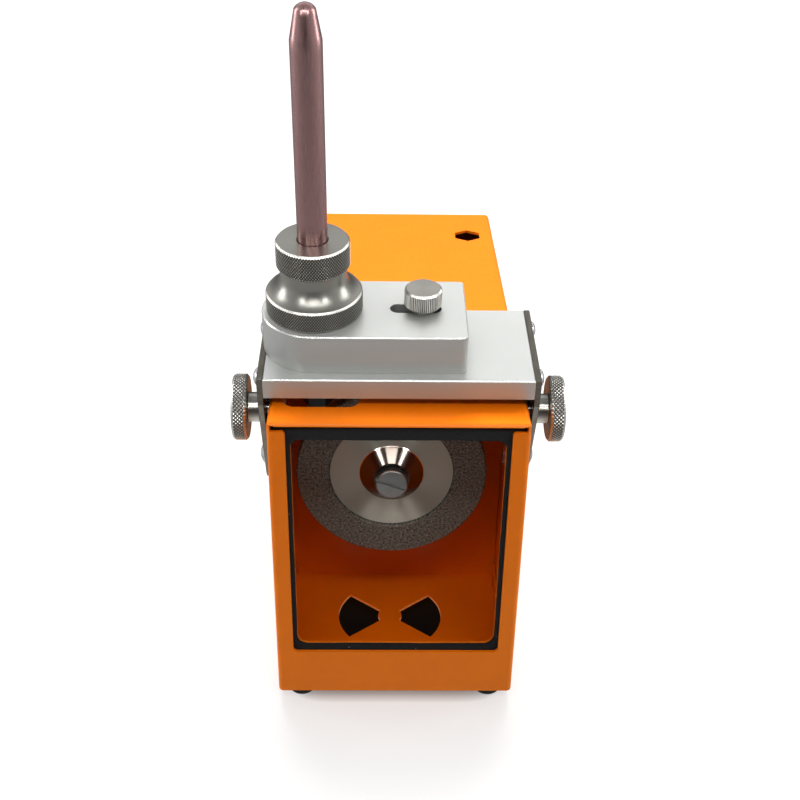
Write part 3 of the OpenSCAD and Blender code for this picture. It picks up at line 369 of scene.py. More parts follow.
@dataclass(frozen=True)
class RolledSteel(Finish):
    """Cold-rolled steel plate with long rolling streaks and faint stains."""

    def draw(self, graph: Graph) -> None:
        """Streaks the plate along Y and clouds it with stains."""
        streaks = graph.noise(scale=900.0, detail=3.0, rough=0.6, at=graph.moved((1.0, 0.06, 1.0)))
        self.tint(graph, streaks, dark=0.6, light=1.3)
        self.dull(graph, graph.noise(scale=140.0, detail=4.0), self.gloss - 0.1, self.gloss + 0.12)
        graph.bump(streaks, depth=0.00003, strength=0.6)


@dataclass(frozen=True)
class RingMarked(Finish):
    """Ground or polished face with marks that run round the motor's axle."""

    mark: float = 1.0
    centre: Triple = (-0.0023, 0.0, 0.096)

    def draw(self, graph: Graph) -> None:
        """Noise over the distance from the axle alone gives rings round it."""
        reach = graph.add("ShaderNodeVectorMath", operation="LENGTH")
        graph.link(graph.moved((1.0, 0.0, 1.0), self.centre), reach.inputs[0])
        line = graph.add("ShaderNodeCombineXYZ")
        graph.link(reach.outputs["Value"], line.inputs["X"])
        rings = graph.noise(scale=2100.0, detail=4.0, rough=0.65, at=line.outputs["Vector"])
        self.tint(graph, rings, dark=0.82, light=1.1)
        self.dull(graph, rings, self.gloss * 0.8, self.gloss * 1.3)
        graph.bump(rings, depth=0.00002 * self.mark, strength=0.6)


@dataclass(frozen=True)
class SealFoam(Finish):
    """Closed-cell foam with open cut cells and light dust on it."""

    dust: Triple = (0.55, 0.53, 0.5)

    def draw(self, graph: Graph) -> None:
        """Pits the face with cells and scatters pale specks about scattered points."""
        specks = graph.span(graph.cells(210.0), 0.03, 0.055, 0.75, 0.0)
        graph.feed("Base Color", graph.blend(specks, self.colour, self.dust))
        graph.bump(graph.cells(1500.0), depth=0.0003, strength=0.7)


@dataclass(frozen=True)
class SinteredGrit(Finish):
    """Sintered layer of grinding grit: a matt grey bond with glinting grains."""

    def draw(self, graph: Graph) -> None:
        """Scatters dark and pale grains and roughens the face with them."""
        grains = graph.cells(1100.0)
        fine = graph.noise(scale=950.0, detail=3.0, rough=0.8)
        self.tint(graph, graph.span(fine, 0.36, 0.66, 0.0, 1.0), dark=0.25, light=2.0)
        self.dull(graph, grains, self.gloss - 0.2, self.gloss + 0.1, (0.1, 0.6))
        graph.bump(fine, depth=0.00016, strength=0.8)


@dataclass(frozen=True)
class ClearGlass(Finish):
    """Clear glass tube with a faint tint."""

    def draw(self, graph: Graph) -> None:
        """Lets light through and leaves faint drawing marks."""
        graph.set(Transmission_Weight=0.9, IOR=1.5)
        graph.bump(graph.noise(scale=700.0, detail=1.0), depth=0.00002, strength=0.3)


FINISHES: dict[str, Finish] = {f.name or f.slot: f for f in (
    PowderCoat("orange_paint", (0.86, 0.238, 0.002), 0.34),
    SealFoam("foam_black", (0.016, 0.016, 0.018), 0.9),
    Finish("foot_rubber", (0.018, 0.018, 0.018), 0.75),
    RolledSteel("bright_screw", (0.72, 0.72, 0.73), 0.24, 1.0),
    Finish("motor_casting", (0.5, 0.51, 0.52), 0.55, 0.9),
    RingMarked("motor_iron", (0.3, 0.3, 0.32), 0.5, 0.8),
    RingMarked("ground_steel", (0.66, 0.66, 0.66), 0.25, 1.0),
    RingMarked("copper_winding", (0.6, 0.26, 0.09), 0.4, 0.9, mark=6.0),
    Finish("pale_plastic", (0.78, 0.77, 0.72), 0.45),
    Finish("black_plastic", (0.022, 0.022, 0.025), 0.42),
    Finish("red_rocker", (0.52, 0.012, 0.01), 0.25),
    ClearGlass("fuse_glass", (0.9, 0.93, 0.93), 0.05),
    TurnedMetal("polished_hub", (0.52, 0.495, 0.43), 0.46, 1.0, stretch=0.95),
    # painted reflection: a darker, warmer copy of the hub's metal on the cone, for the dim chamber that it
    # mirrors
    TurnedMetal("polished_hub", (0.25, 0.215, 0.19), 0.16, 1.0, name="cone_painted_reflection", stretch=0.75),
    # painted highlight: a near-white, glossy copy of the hub's metal on its broken edges
    TurnedMetal("polished_hub", (0.95, 0.93, 0.88), 0.2, 1.0, name="hub_edge_painted_highlight"),
    SinteredGrit("diamond_grit", (0.2, 0.192, 0.165), 0.75, 0.2),
    RingMarked("black_oxide", (0.13, 0.13, 0.128), 0.34, 1.0),
    Finish("black_oxide", (0.34, 0.338, 0.33), 0.38, 1.0, name="worn_oxide"),
    Finish("ground_steel", (0.05, 0.05, 0.05), 0.4, 1.0, name="blued_steel"),
    BlastedAluminium("satin_aluminium", (0.52, 0.526, 0.512), 0.38, 0.42),
    # glossier bare-metal copy of the satin aluminium on the broken edges, whose lighter colour is a painted
    # highlight along them
    BlastedAluminium("satin_aluminium", (0.8, 0.8, 0.79), 0.26, 1.0, name="break_painted_highlight"),
    RolledSteel("bracket_steel", (0.2, 0.19, 0.165), 0.36, 1.0),
    TurnedMetal("knurled_steel", (0.34, 0.333, 0.308), 0.34, 1.0, name="turned_steel"),
    KnurledMetal("knurled_steel", (0.38, 0.374, 0.345), 0.34, 1.0),
    # a glossier copy of the knurled steel on the grips' broken edges, whose lighter colour is a painted
    # highlight along them
    TurnedMetal("knurled_steel", (0.6, 0.59, 0.56), 0.3, 1.0, name="chamfer_painted_highlight"),
    # painted light: lighter copies of the knurled steel for the knobs and the lock screw, standing in for the
    # light that they catch
    TurnedMetal("knurled_steel", (0.42, 0.41, 0.38), 0.3, 1.0, name="turned_painted_light"),
    KnurledMetal("knurled_steel", (0.54, 0.53, 0.5), 0.28, 1.0, name="knurl_painted_light"),
    Finish("bearing_bronze", (0.6, 0.4, 0.17), 0.4, 1.0),
    Anodised("rose_anodised", (0.43, 0.278, 0.275), 0.3, 1.0),
)}
STEEL_GRIP = ("turned_steel", "knurled_steel", "chamfer_painted_highlight")
PAINTED_LIGHT_GRIP = ("turned_painted_light", "knurl_painted_light", "chamfer_painted_highlight")


@dataclass(frozen=True)
class Axis:
    """A line that pieces turn about, with two directions square to it. Lengths are millimetres."""

    origin: np.ndarray
    along: np.ndarray

    @classmethod
    def of_joint(cls, name: str) -> "Axis":
        """The axis of one of the part's joints.

        Args:
            name: Name of the joint.

        Returns:
            The axis.
        """
        joint = next(j for j in frame["joints"] if j["name"] == name)
        along = np.array(joint["axis"], float)
        return cls(np.array(joint["pos_m"], float) / MM, along / np.linalg.norm(along))

    def square(self) -> tuple[np.ndarray, np.ndarray]:
        """Two directions square to the axis.

        Returns:
            Two unit vectors, square to each other.
        """
        helper = np.eye(3)[np.argmin(np.abs(self.along))]
        first = np.cross(self.along, helper)
        first /= np.linalg.norm(first)
        return first, np.cross(self.along, first)

    def points(self, radius: np.ndarray, angle: np.ndarray, height: np.ndarray) -> np.ndarray:
        """Points at a radius, an angle and a height on the axis.

        Args:
            radius: Distance from the axis.
            angle: Angle about the axis in radians.
            height: Distance along the axis from its origin.

        Returns:
            Array of the points, with X, Y and Z last.
        """
        first, second = self.square()
        side = np.cos(angle)[..., None] * first + np.sin(angle)[..., None] * second
        return self.origin + height[..., None] * self.along + radius[..., None] * side


class Outline:
    """Half section of a turned piece: radius and height in millimetres, with a finish for each step."""

    def __init__(self, radius: float, height: float) -> None:
        """Starts the outline at a point.

        Args:
            radius: Radius at the start.
            height: Height at the start.
        """
        self.radius: list[float] = [radius]
        self.height: list[float] = [height]
        self.finish: list[Zone] = [Zone.BODY]
        self.grip: list[bool] = [False]

    def to(self, radius: float, height: float, finish: Zone = Zone.BODY, steps: int = 1) -> "Outline":
        """Goes on in a straight line.

        Args:
            radius: Radius at the end.
            height: Height at the end.
            finish: Which of the piece's finishes this stretch has.
            steps: Number of rows on it.

        Returns:
            The outline itself.
        """
        share = np.arange(1, steps + 1) / steps
        self.radius += list(self.radius[-1] + share * (radius - self.radius[-1]))
        self.height += list(self.height[-1] + share * (height - self.height[-1]))
        self.finish += [finish] * steps
        self.grip += [False] * steps
        return self

    def knurled(self, radius: float, low: float, high: float, edge: float, rows: int) -> "Outline":
        """Goes on over a band that the knurl is cut into, with a broken edge before and after it.

        Args:
            radius: Radius of the band.
            low: Height where the first broken edge starts.
            high: Height where the last one ends.
            edge: Width of the broken edges.
            rows: Number of rows on the band.

        Returns:
            The outline itself.
        """
        self.to(radius, low + edge, Zone.EDGE).to(radius, high - edge, Zone.WORKED, rows)
        self.grip[-rows - 1:] = [True] * (rows + 1)
        return self.to(radius - edge, high, Zone.EDGE)

    def arc(self, radius: float, height: float, size: float, start: float, end: float,
            finish: Zone = Zone.BODY, steps: int = 8) -> "Outline":
        """Goes on along an arc.

        Args:
            radius: Radius of the arc's centre.
            height: Height of the arc's centre.
            size: Radius of the arc itself.
            start: Angle at its start, in degrees from the outward direction.
            end: Angle at its end.
            finish: Which of the piece's finishes it has.
            steps: Number of rows on it.

        Returns:
            The outline itself.
        """
        turn = np.radians(np.linspace(start, end, steps + 1)[1:])
        self.radius += list(radius + size * np.cos(turn))
        self.height += list(height + size * np.sin(turn))
        self.finish += [finish] * steps
        self.grip += [False] * steps
        return self


@dataclass
class Skin:
    """A grid of points over two parameters, with a relief value for each point and a finish for each row."""

    points: np.ndarray
    relief: np.ndarray
    finish: np.ndarray
    close_rows: bool = True


@dataclass(frozen=True)
class Grip:
    """Sizes of a knurl: its pattern, the grooves round the piece, its axial pitch and its depth."""

    pattern: Knurl = Knurl.NONE
    count: int = 16
    pitch: float = 1.0
    depth: float = 0.0
    samples: int = 6

    def relief(self, angle: np.ndarray, height: np.ndarray) -> np.ndarray:
        """Height of the knurl from 0 in a groove to 1 on a tip.

        A wave that falls from 1 on a whole number to 0 halfway to the next is read at the count of turns plus
        and minus the count of pitches, and the lower of the two holds. Straight grooves read the turns alone.

        Args:
            angle: Angle about the axis in radians.
            height: Height on the axis in millimetres.

        Returns:
            Array of relief values.
        """
        turns = angle * self.count / (2 * np.pi)
        lift = height / self.pitch if self.pattern is Knurl.DIAMOND else np.zeros_like(height)
        return np.minimum(np.abs(2 * ((turns + lift) % 1.0) - 1), np.abs(2 * ((turns - lift) % 1.0) - 1))


def turned(axis: Axis, outline: Outline, columns: int = 128, grip: Grip = Grip(),
           closed: bool = True) -> Skin:
    """A half section carried round an axis, with a knurl cut inward where the outline has its grip.

    Args:
        axis: Axis of the piece.
        outline: Half section.
        columns: Number of points round the axis, where there is no knurl.
        grip: Knurl of the rows that are marked for it.
        closed: Whether the section returns to its start.

    Returns:
        The surface.
    """
    if grip.pattern is not Knurl.NONE:
        columns = grip.count * grip.samples
    angle = np.arange(columns) * 2 * np.pi / columns
    radius, turn = np.meshgrid(np.array(outline.radius), angle, indexing="ij")
    height = np.array(outline.height)[:, None] + np.zeros_like(turn)
    marked = np.array(outline.grip)
    relief = np.ones_like(radius)
    start = np.array(outline.height)[marked].min() if marked.any() else 0.0
    relief[marked] = grip.relief(turn, height - start)[marked]
    radius = radius - grip.depth * (1.0 - relief)
    return Skin(axis.points(radius, turn, height), relief, np.array(outline.finish), close_rows=closed)


def grid_faces(rows: int, columns: int, close_rows: bool,
               close_columns: bool = True) -> tuple[np.ndarray, np.ndarray]:
    """Quads over a grid of points.

    Args:
        rows: Number of rows.
        columns: Number of columns.
        close_rows: Whether the last row joins the first.
        close_columns: Whether the last column joins the first.

    Returns:
        Array of four point numbers for each quad, and the row and column where each quad starts.
    """
    row = np.arange(rows if close_rows else rows - 1)
    column = np.arange(columns if close_columns else columns - 1)
    first, second = np.meshgrid(row, column, indexing="ij")
    below, beside = (first + 1) % rows, (second + 1) % columns
    quads = np.stack([first * columns + second, first * columns + beside, below * columns + beside,
                      below * columns + second], axis=-1)
    return quads.reshape(-1, 4), np.stack([first, second], axis=-1).reshape(-1, 2)


def mesh_of(name: str, skins: list[Skin]) -> bpy.types.Mesh:
    """Joins surfaces into one mesh with a map that wraps round each of them and a relief attribute.

    Args:
        name: Name of the mesh.
        skins: Surfaces, in millimetres.

    Returns:
        The mesh, in metres, with doubled points merged and its faces turned outwards.
    """
    quads, maps, kinds, first = [], [], [], 0
    for skin in skins:
        rows, columns = skin.points.shape[:2]
        faces, start = grid_faces(rows, columns, skin.close_rows)
        step = np.linalg.norm(np.diff(skin.points, axis=0, append=skin.points[:1]), axis=-1).mean(axis=1)
        along = np.concatenate([[0.0], np.cumsum(step)])
        u = np.stack([start[:, 1], start[:, 1] + 1, start[:, 1] + 1, start[:, 1]], axis=-1) / columns
        v = np.stack([along[start[:, 0]]] * 2 + [along[start[:, 0] + 1]] * 2, axis=-1)
        quads.append(faces + first)
        maps.append(np.stack([u, v], axis=-1).reshape(-1, 2))
        kinds.append(skin.finish[(start[:, 0] + 1) % rows])
        first += rows * columns
    points = np.concatenate([s.points.reshape(-1, 3) for s in skins]) * MM
    faces = np.concatenate(quads)
    mesh = bpy.data.meshes.new(name)
    mesh.vertices.add(len(points))
    mesh.vertices.foreach_set("co", points.ravel())
    mesh.loops.add(faces.size)
    mesh.loops.foreach_set("vertex_index", faces.ravel())
    mesh.polygons.add(len(faces))
    mesh.polygons.foreach_set("loop_start", np.arange(0, faces.size, 4))
    mesh.polygons.foreach_set("material_index", np.concatenate(kinds))
    mesh.update(calc_edges=True)
    mesh.uv_layers.new(name="wrap").data.foreach_set("uv", np.concatenate(maps).ravel())
    relief = mesh.attributes.new("relief", "FLOAT", "POINT")
    relief.data.foreach_set("value", np.concatenate([s.relief.ravel() for s in skins]))
    tidy(mesh, GRID_REACH)
    return mesh


def tidy(mesh: bpy.types.Mesh, reach: float, flat: float = 0.0) -> None:
    """Merges doubled points, clears faces without area and turns the faces outwards.

    Args:
        mesh: Mesh to change.
        reach: Distance in metres within which points are one.
        flat: Angle in degrees below which neighbouring faces become one, or 0 to leave them.
    """
    work = bmesh.new()
    work.from_mesh(mesh)
    bmesh.ops.remove_doubles(work, verts=work.verts, dist=reach)
    bmesh.ops.dissolve_degenerate(work, edges=work.edges, dist=reach)
    if flat:
        bmesh.ops.dissolve_limit(work, angle_limit=math.radians(flat), verts=work.verts, edges=work.edges)
    else:
        bmesh.ops.recalc_face_normals(work, faces=work.faces)
    work.to_mesh(mesh)
    work.free()


def show(name: str, shape: list[Skin] | bpy.types.Mesh, node: str, finishes: Names,
         crease: Crease = Crease.TURNED) -> bpy.types.Object:
    """Puts a new piece into the scene in place of a solid.

    Args:
        name: Name of the piece.
        shape: Its surfaces in millimetres, or a mesh that is in place.
        node: Solid that it stands for.
        finishes: Names of its finishes, in the order of the mesh's material numbers.
        crease: Angle of its sharp edges.

    Returns:
        The new object.
    """
    mesh = shape if isinstance(shape, bpy.types.Mesh) else mesh_of(name, shape)
    piece = bpy.data.objects.new(name, mesh)
    bpy.context.scene.collection.objects.link(piece)
    for finish in finishes:
        mesh.materials.append(FINISHES[finish].material())
    mesh.shade_smooth()
    mesh.set_sharp_from_angle(angle=math.radians(crease.value))
    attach(piece, frame["nodes"][node]["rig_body"])
    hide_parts(node)
    LOG.info("piece %s: %d faces", name, len(mesh.polygons))
    return piece


def refined(node: str, finishes: Names, edge: float, crease: Crease = Crease.SHEET) -> None:
    """A merged copy of a solid with smooth bends and softly broken edges.

    Args:
        node: Solid to copy.
        finishes: Names of its finishes; the second, if any, is on the broken edges.
        edge: Width of the broken edges in millimetres.
        crease: Angle of its sharp edges.
    """
    mesh = frame["nodes"][node].data.copy()
    mesh.name = node + "_dressed"
    mesh.materials.clear()
    tidy(mesh, SOLID_REACH, SOLID_FLAT)
    piece = show(node + "_dressed", mesh, node, finishes, crease)
    bevel = piece.modifiers.new("broken edge", "BEVEL")
    bevel.width = edge * MM
    bevel.segments = 2
    bevel.limit_method = "ANGLE"
    bevel.angle_limit = math.radians(BREAK_ANGLE)
    bevel.harden_normals = True
    bevel.material = len(finishes) - 1


@dataclass
class Case:
    """Folded sheet case with its chamber, its window's seal and its feet."""

    seal_half: float = 53.3
    seal_low: float = 20.0
    seal_high: float = 151.4
    seal_droop: float = 1.0
    seal_front: float = -119.0
    seal_back: float = -115.5
    opening_half: float = 45.9
    opening_low: float = 31.6
    opening_high: float = 145.4
    opening_round: float = 5.0
    seal_round: float = 0.6
    seal_edge: float = 0.7
    seal_strip: float = 8.0
    seal_wave: float = 0.35
    seal_ripples: tuple[Triple, ...] = ((7, 1.0, 0.0), (17, 0.6, 1.0), (41, 0.4, 2.0))
    bend_points: int = 9
    side_points: int = 40
    edge_points: int = 5
    foot: float = 6.5
    foot_high: float = 7.5
    foot_round: float = 1.5
    foot_break: float = 0.3
    foot_bore: float = 2.3
    recess: float = 3.5
    recess_deep: float = 3.0
    sheet_break: float = 0.25
    screw_break: float = 0.12
    sheets: Names = ("case_shell", "base_pan", "rear_panel", "chamber_wall", "window_frame")
    screws: Names = ("foot_screws", "pan_screws", "panel_screws", "pivot_screws")

    def loop(self, half: float, low: float, high: float, bend: float) -> np.ndarray:
        """A rectangle with round corners as a closed line, in X and Z.

        Each corner is a quarter circle of the bend's radius, and each side between two corners is cut evenly,
        so two rectangles with the same cuts pair off point by point.

        Args:
            half: Half of its width.
            low: Height of its lower side.
            high: Height of its upper side.
            bend: Radius of its corners.

        Returns:
            Array of points.
        """
        quarter = np.radians(np.linspace(0.0, 90.0, self.bend_points))
        centres = np.array([[half - bend, high - bend], [bend - half, high - bend], [bend - half, low + bend],
                            [half - bend, low + bend]])
        turns = [quarter + k * np.pi / 2 for k in range(4)]
        corners = [c + bend * np.stack([np.cos(t), np.sin(t)], axis=-1) for c, t in zip(centres, turns)]
        share = np.linspace(0.0, 1.0, self.side_points + 2)[1:-1, None]
        sides = [corners[k][-1] + share * (corners[(k + 1) % 4][0] - corners[k][-1]) for k in range(4)]
        return np.concatenate([part for pair in zip(corners, sides) for part in pair])

    def seal(self) -> None:
        """The foam seal: a soft-edged strip section carried round the window.

        Each point lies between the inner and the outer rectangle by a share, and at a depth, both read from a
        rectangle with round corners. Three sines of the place on the loop make its edges wander a little, and
        the upper edge droops towards its ends by the cube of the distance from the middle.
        """
        inner = self.loop(self.opening_half, self.opening_low, self.opening_high, self.opening_round)
        outer = self.loop(self.seal_half, self.seal_low, self.seal_high, self.seal_round)
        upper = (outer[:, 1] > self.opening_high) * np.abs(outer[:, 0] / self.seal_half) ** 3
        outer[:, 1] -= self.seal_droop * upper
        place = np.linspace(0.0, 2 * np.pi, len(inner), endpoint=False)
        wave = sum(size * np.sin(turns * place + shift) for turns, size, shift in self.seal_ripples) / 2
        depth = self.seal_back - self.seal_front
        quarter = np.radians(np.linspace(0.0, 90.0, self.edge_points))
        inset = self.seal_edge * (1 - np.cos(quarter)) / self.seal_strip
        across = np.concatenate([inset, [0.5], 1 - inset[::-1], [1.0, 0.5, 0.0]])[:, None, None]
        sink = self.seal_edge * (1 - np.sin(quarter))
        deep = np.concatenate([sink, [0.0], sink[::-1], [depth] * 3])
        to_centre = inner.mean(axis=0) - inner
        wander = to_centre * (self.seal_wave * (wave + 1) / 2 / np.linalg.norm(to_centre, axis=1))[:, None]
        flat = inner + (outer - inner) * across + wander * (1 - across)
        y = np.broadcast_to((self.seal_front + deep)[:, None], flat.shape[:2])
        points = np.stack([flat[..., 0], y, flat[..., 1]], axis=-1)
        skin = Skin(points, np.ones(points.shape[:2]), np.zeros(len(points), int))
        show("foam_seal", [skin], "window_gasket", ("foam_black",), Crease.CAST)

    def feet(self) -> None:
        """Four rubber feet with a round lower edge and a recess for the bolt's head."""
        low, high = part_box("rubber_feet")
        bend = self.foot_round
        flat = self.foot - bend
        foot = Outline(self.recess, 0.0).to(flat, 0.0).arc(flat, bend, bend, -90.0, 0.0)
        foot.to(self.foot, self.foot_high - self.foot_break).to(self.foot - self.foot_break, self.foot_high)
        foot.to(self.foot_bore, self.foot_high).to(self.foot_bore, self.recess_deep)
        foot.to(self.recess, self.recess_deep)
        skins = []
        for x in (low.x / MM + self.foot, high.x / MM - self.foot):
            for y in (low.y / MM + self.foot, high.y / MM - self.foot):
                axis = Axis(np.array([x, y, 0.0]), np.array([0.0, 0.0, 1.0]))
                skins.append(turned(axis, foot, 64))
        show("rubber_feet_turned", skins, "rubber_feet", ("foot_rubber",))

    def build(self) -> None:
        """Builds and dresses the case."""
        for node in self.sheets:
            refined(node, ("orange_paint",), self.sheet_break)
        for node in self.screws:
            refined(node, ("bright_screw",), self.screw_break)
        self.seal()
        self.feet()


@dataclass
class Wheel:
    """Grinding wheel: its grit ring, its polished hub and the slotted screw."""

    face: float = -70.5
    grit_back: float = -64.5
    rim: float = 45.0
    grit_in: float = 29.8
    hub: float = -69.0
    rim_back: float = -60.5
    boss: float = 19.8
    hub_back: float = -53.0
    cone: float = 15.4
    cone_end: float = 8.7
    cone_front: float = -73.6
    bore: float = 6.03
    grit_gap: float = 0.1
    grit_break: float = 0.3
    rim_break: float = 0.5
    hub_break: float = 0.6
    back_break: float = 0.8
    boss_slope: float = 4.0
    cone_break: tuple[float, float] = (0.3, 0.2)
    cone_foot: tuple[float, float] = (0.4, 0.3)
    screw_break: float = 0.15
    columns: int = 240
    hub_finishes: Names = ("polished_hub", "cone_painted_reflection", "hub_edge_painted_highlight")

    def grit_ring(self, axis: Axis) -> None:
        """The grit's flat ring with broken edges, set into the wheel's rim."""
        start = self.grit_in + self.grit_gap
        edge = self.rim_break
        grit = Outline(start, self.face + self.grit_break).to(start + self.grit_break, self.face)
        grit.to(self.rim - edge, self.face, steps=12).to(self.rim, self.face + edge)
        grit.to(self.rim, self.grit_back - edge).to(self.rim - edge, self.grit_back).to(start, self.grit_back)
        show("grit_ring", [turned(axis, grit, self.columns)], "diamond_ring", ("diamond_grit",))

    def polished_hub(self, axis: Axis) -> None:
        """The wheel's body: a cone round the screw, a turned face, the rim behind the grit and the boss."""
        hub = Outline(self.cone_end - self.cone_break[0], self.cone_front)
        hub.to(self.cone_end, self.cone_front + self.cone_break[1], Zone.WORKED)
        hub.to(self.cone - self.cone_foot[0], self.hub - self.cone_foot[1], Zone.WORKED, 10)
        hub.to(self.cone, self.hub, Zone.EDGE)
        hub.to(self.grit_in - self.hub_break, self.hub, steps=6)
        hub.to(self.grit_in, self.hub + self.hub_break, Zone.EDGE)
        hub.to(self.grit_in, self.grit_back).to(self.rim, self.grit_back)
        hub.to(self.rim, self.rim_back - self.back_break).to(self.rim - self.back_break, self.rim_back)
        hub.to(self.boss + self.boss_slope, self.rim_back).to(self.boss, self.hub_back)
        hub.to(self.bore, self.hub_back).to(self.bore, self.cone_front)
        skin = turned(axis, hub, self.columns)
        show("polished_hub", [skin], "wheel_core", self.hub_finishes, Crease.SHEET)

    def build(self) -> None:
        """Builds and dresses the wheel."""
        axis = Axis.of_joint("wheel_spin")
        self.grit_ring(axis)
        self.polished_hub(axis)
        refined("wheel_screw", ("worn_oxide",), self.screw_break, Crease.TURNED)
        refined("wheel_washer", ("black_oxide",), self.screw_break, Crease.TURNED)


@dataclass
class Table:
    """Leaning table: its plate, the two side brackets, their screws and the clamp knobs."""

    collar_in: float = 59.6
    collar: float = 6.5
    knob_in: float = 64.9
    knob_out: float = 71.2
    knob: float = 14.5
    break_edge: float = 0.9
    bore: float = 3.2
    bore_end: float = 69.2
    collar_break: float = 0.4
    collar_fillet: float = 0.5
    plate_break: float = 0.35
    bracket_break: float = 0.2
    screw_break: float = 0.12
    pole: float = 2.0
    grip: Grip = Grip(Knurl.DIAMOND, 52, 1.64, 0.42, 10)
    grip_rows: int = 27

    def clamp_knob(self, side: str) -> None:
        """A knurled knob on a plain collar, turned about its stud.

        Args:
            side: left or right.
        """
        joint = Axis.of_joint(side + "_knob_turn")
        axis = Axis(np.array([0.0, joint.origin[1], joint.origin[2]]), joint.along)
        edge, bend = self.break_edge, self.collar_fillet
        knob = Outline(0.0, self.bore_end).to(self.bore, self.bore_end).to(self.bore, self.collar_in)
        knob.to(self.collar - self.collar_break, self.collar_in)
        knob.to(self.collar, self.collar_in + self.collar_break, Zone.EDGE)
        knob.to(self.collar, self.knob_in - bend, steps=3)
        knob.arc(self.collar + bend, self.knob_in - bend, bend, 180.0, 90.0)
        knob.to(self.knob - edge, self.knob_in, steps=6)
        knob.knurled(self.knob, self.knob_in, self.knob_out, edge, self.grip_rows)
        knob.to(self.pole, self.knob_out, steps=8).to(0.0, self.knob_out)
        skin = turned(axis, knob, grip=self.grip, closed=False)
        show(side + "_knob_turned", [skin], side + "_knob", PAINTED_LIGHT_GRIP)

    def build(self) -> None:
        """Builds and dresses the table."""
        refined("table_plate", ("satin_aluminium", "break_painted_highlight"), self.plate_break)
        for node in ("left_bracket", "right_bracket"):
            refined(node, ("bracket_steel",), self.bracket_break)
        refined("bracket_screws", ("bright_screw",), self.screw_break)
        for side in ("left", "right"):
            self.clamp_knob(side)


@dataclass
class Carriage:
    """Sliding block with its locking thumb screw."""

    neck_foot: float = 18.1
    head_foot: float = 19.9
    head_top: float = 28.3
    neck: float = 5.0
    head: float = 8.0
    shank: float = 3.0
    shank_end: float = -9.0
    break_edge: float = 0.9
    block_break: float = 0.45
    pole: float = 1.0
    grip: Grip = Grip(Knurl.STRAIGHT, 60, 1.0, 0.3)
    grip_rows: int = 4

    def lock_screw(self) -> None:
        """The thumb screw: shank, plain neck and a head with straight grooves."""
        axis = Axis.of_joint("lock_screw_turn")
        edge = self.break_edge
        screw = Outline(0.0, self.shank_end).to(self.shank, self.shank_end).to(self.shank, self.neck_foot)
        screw.to(self.neck, self.neck_foot).to(self.neck, self.head_foot).to(self.head - edge, self.head_foot)
        screw.knurled(self.head, self.head_foot, self.head_top, edge, self.grip_rows)
        screw.to(self.pole, self.head_top, steps=8).to(0.0, self.head_top)
        skin = turned(axis, screw, grip=self.grip, closed=False)
        show("lock_screw_turned", [skin], "lock_screw", PAINTED_LIGHT_GRIP)

    def build(self) -> None:
        """Builds and dresses the carriage."""
        refined("slide_block", ("satin_aluminium", "break_painted_highlight"), self.block_break)
        self.lock_screw()


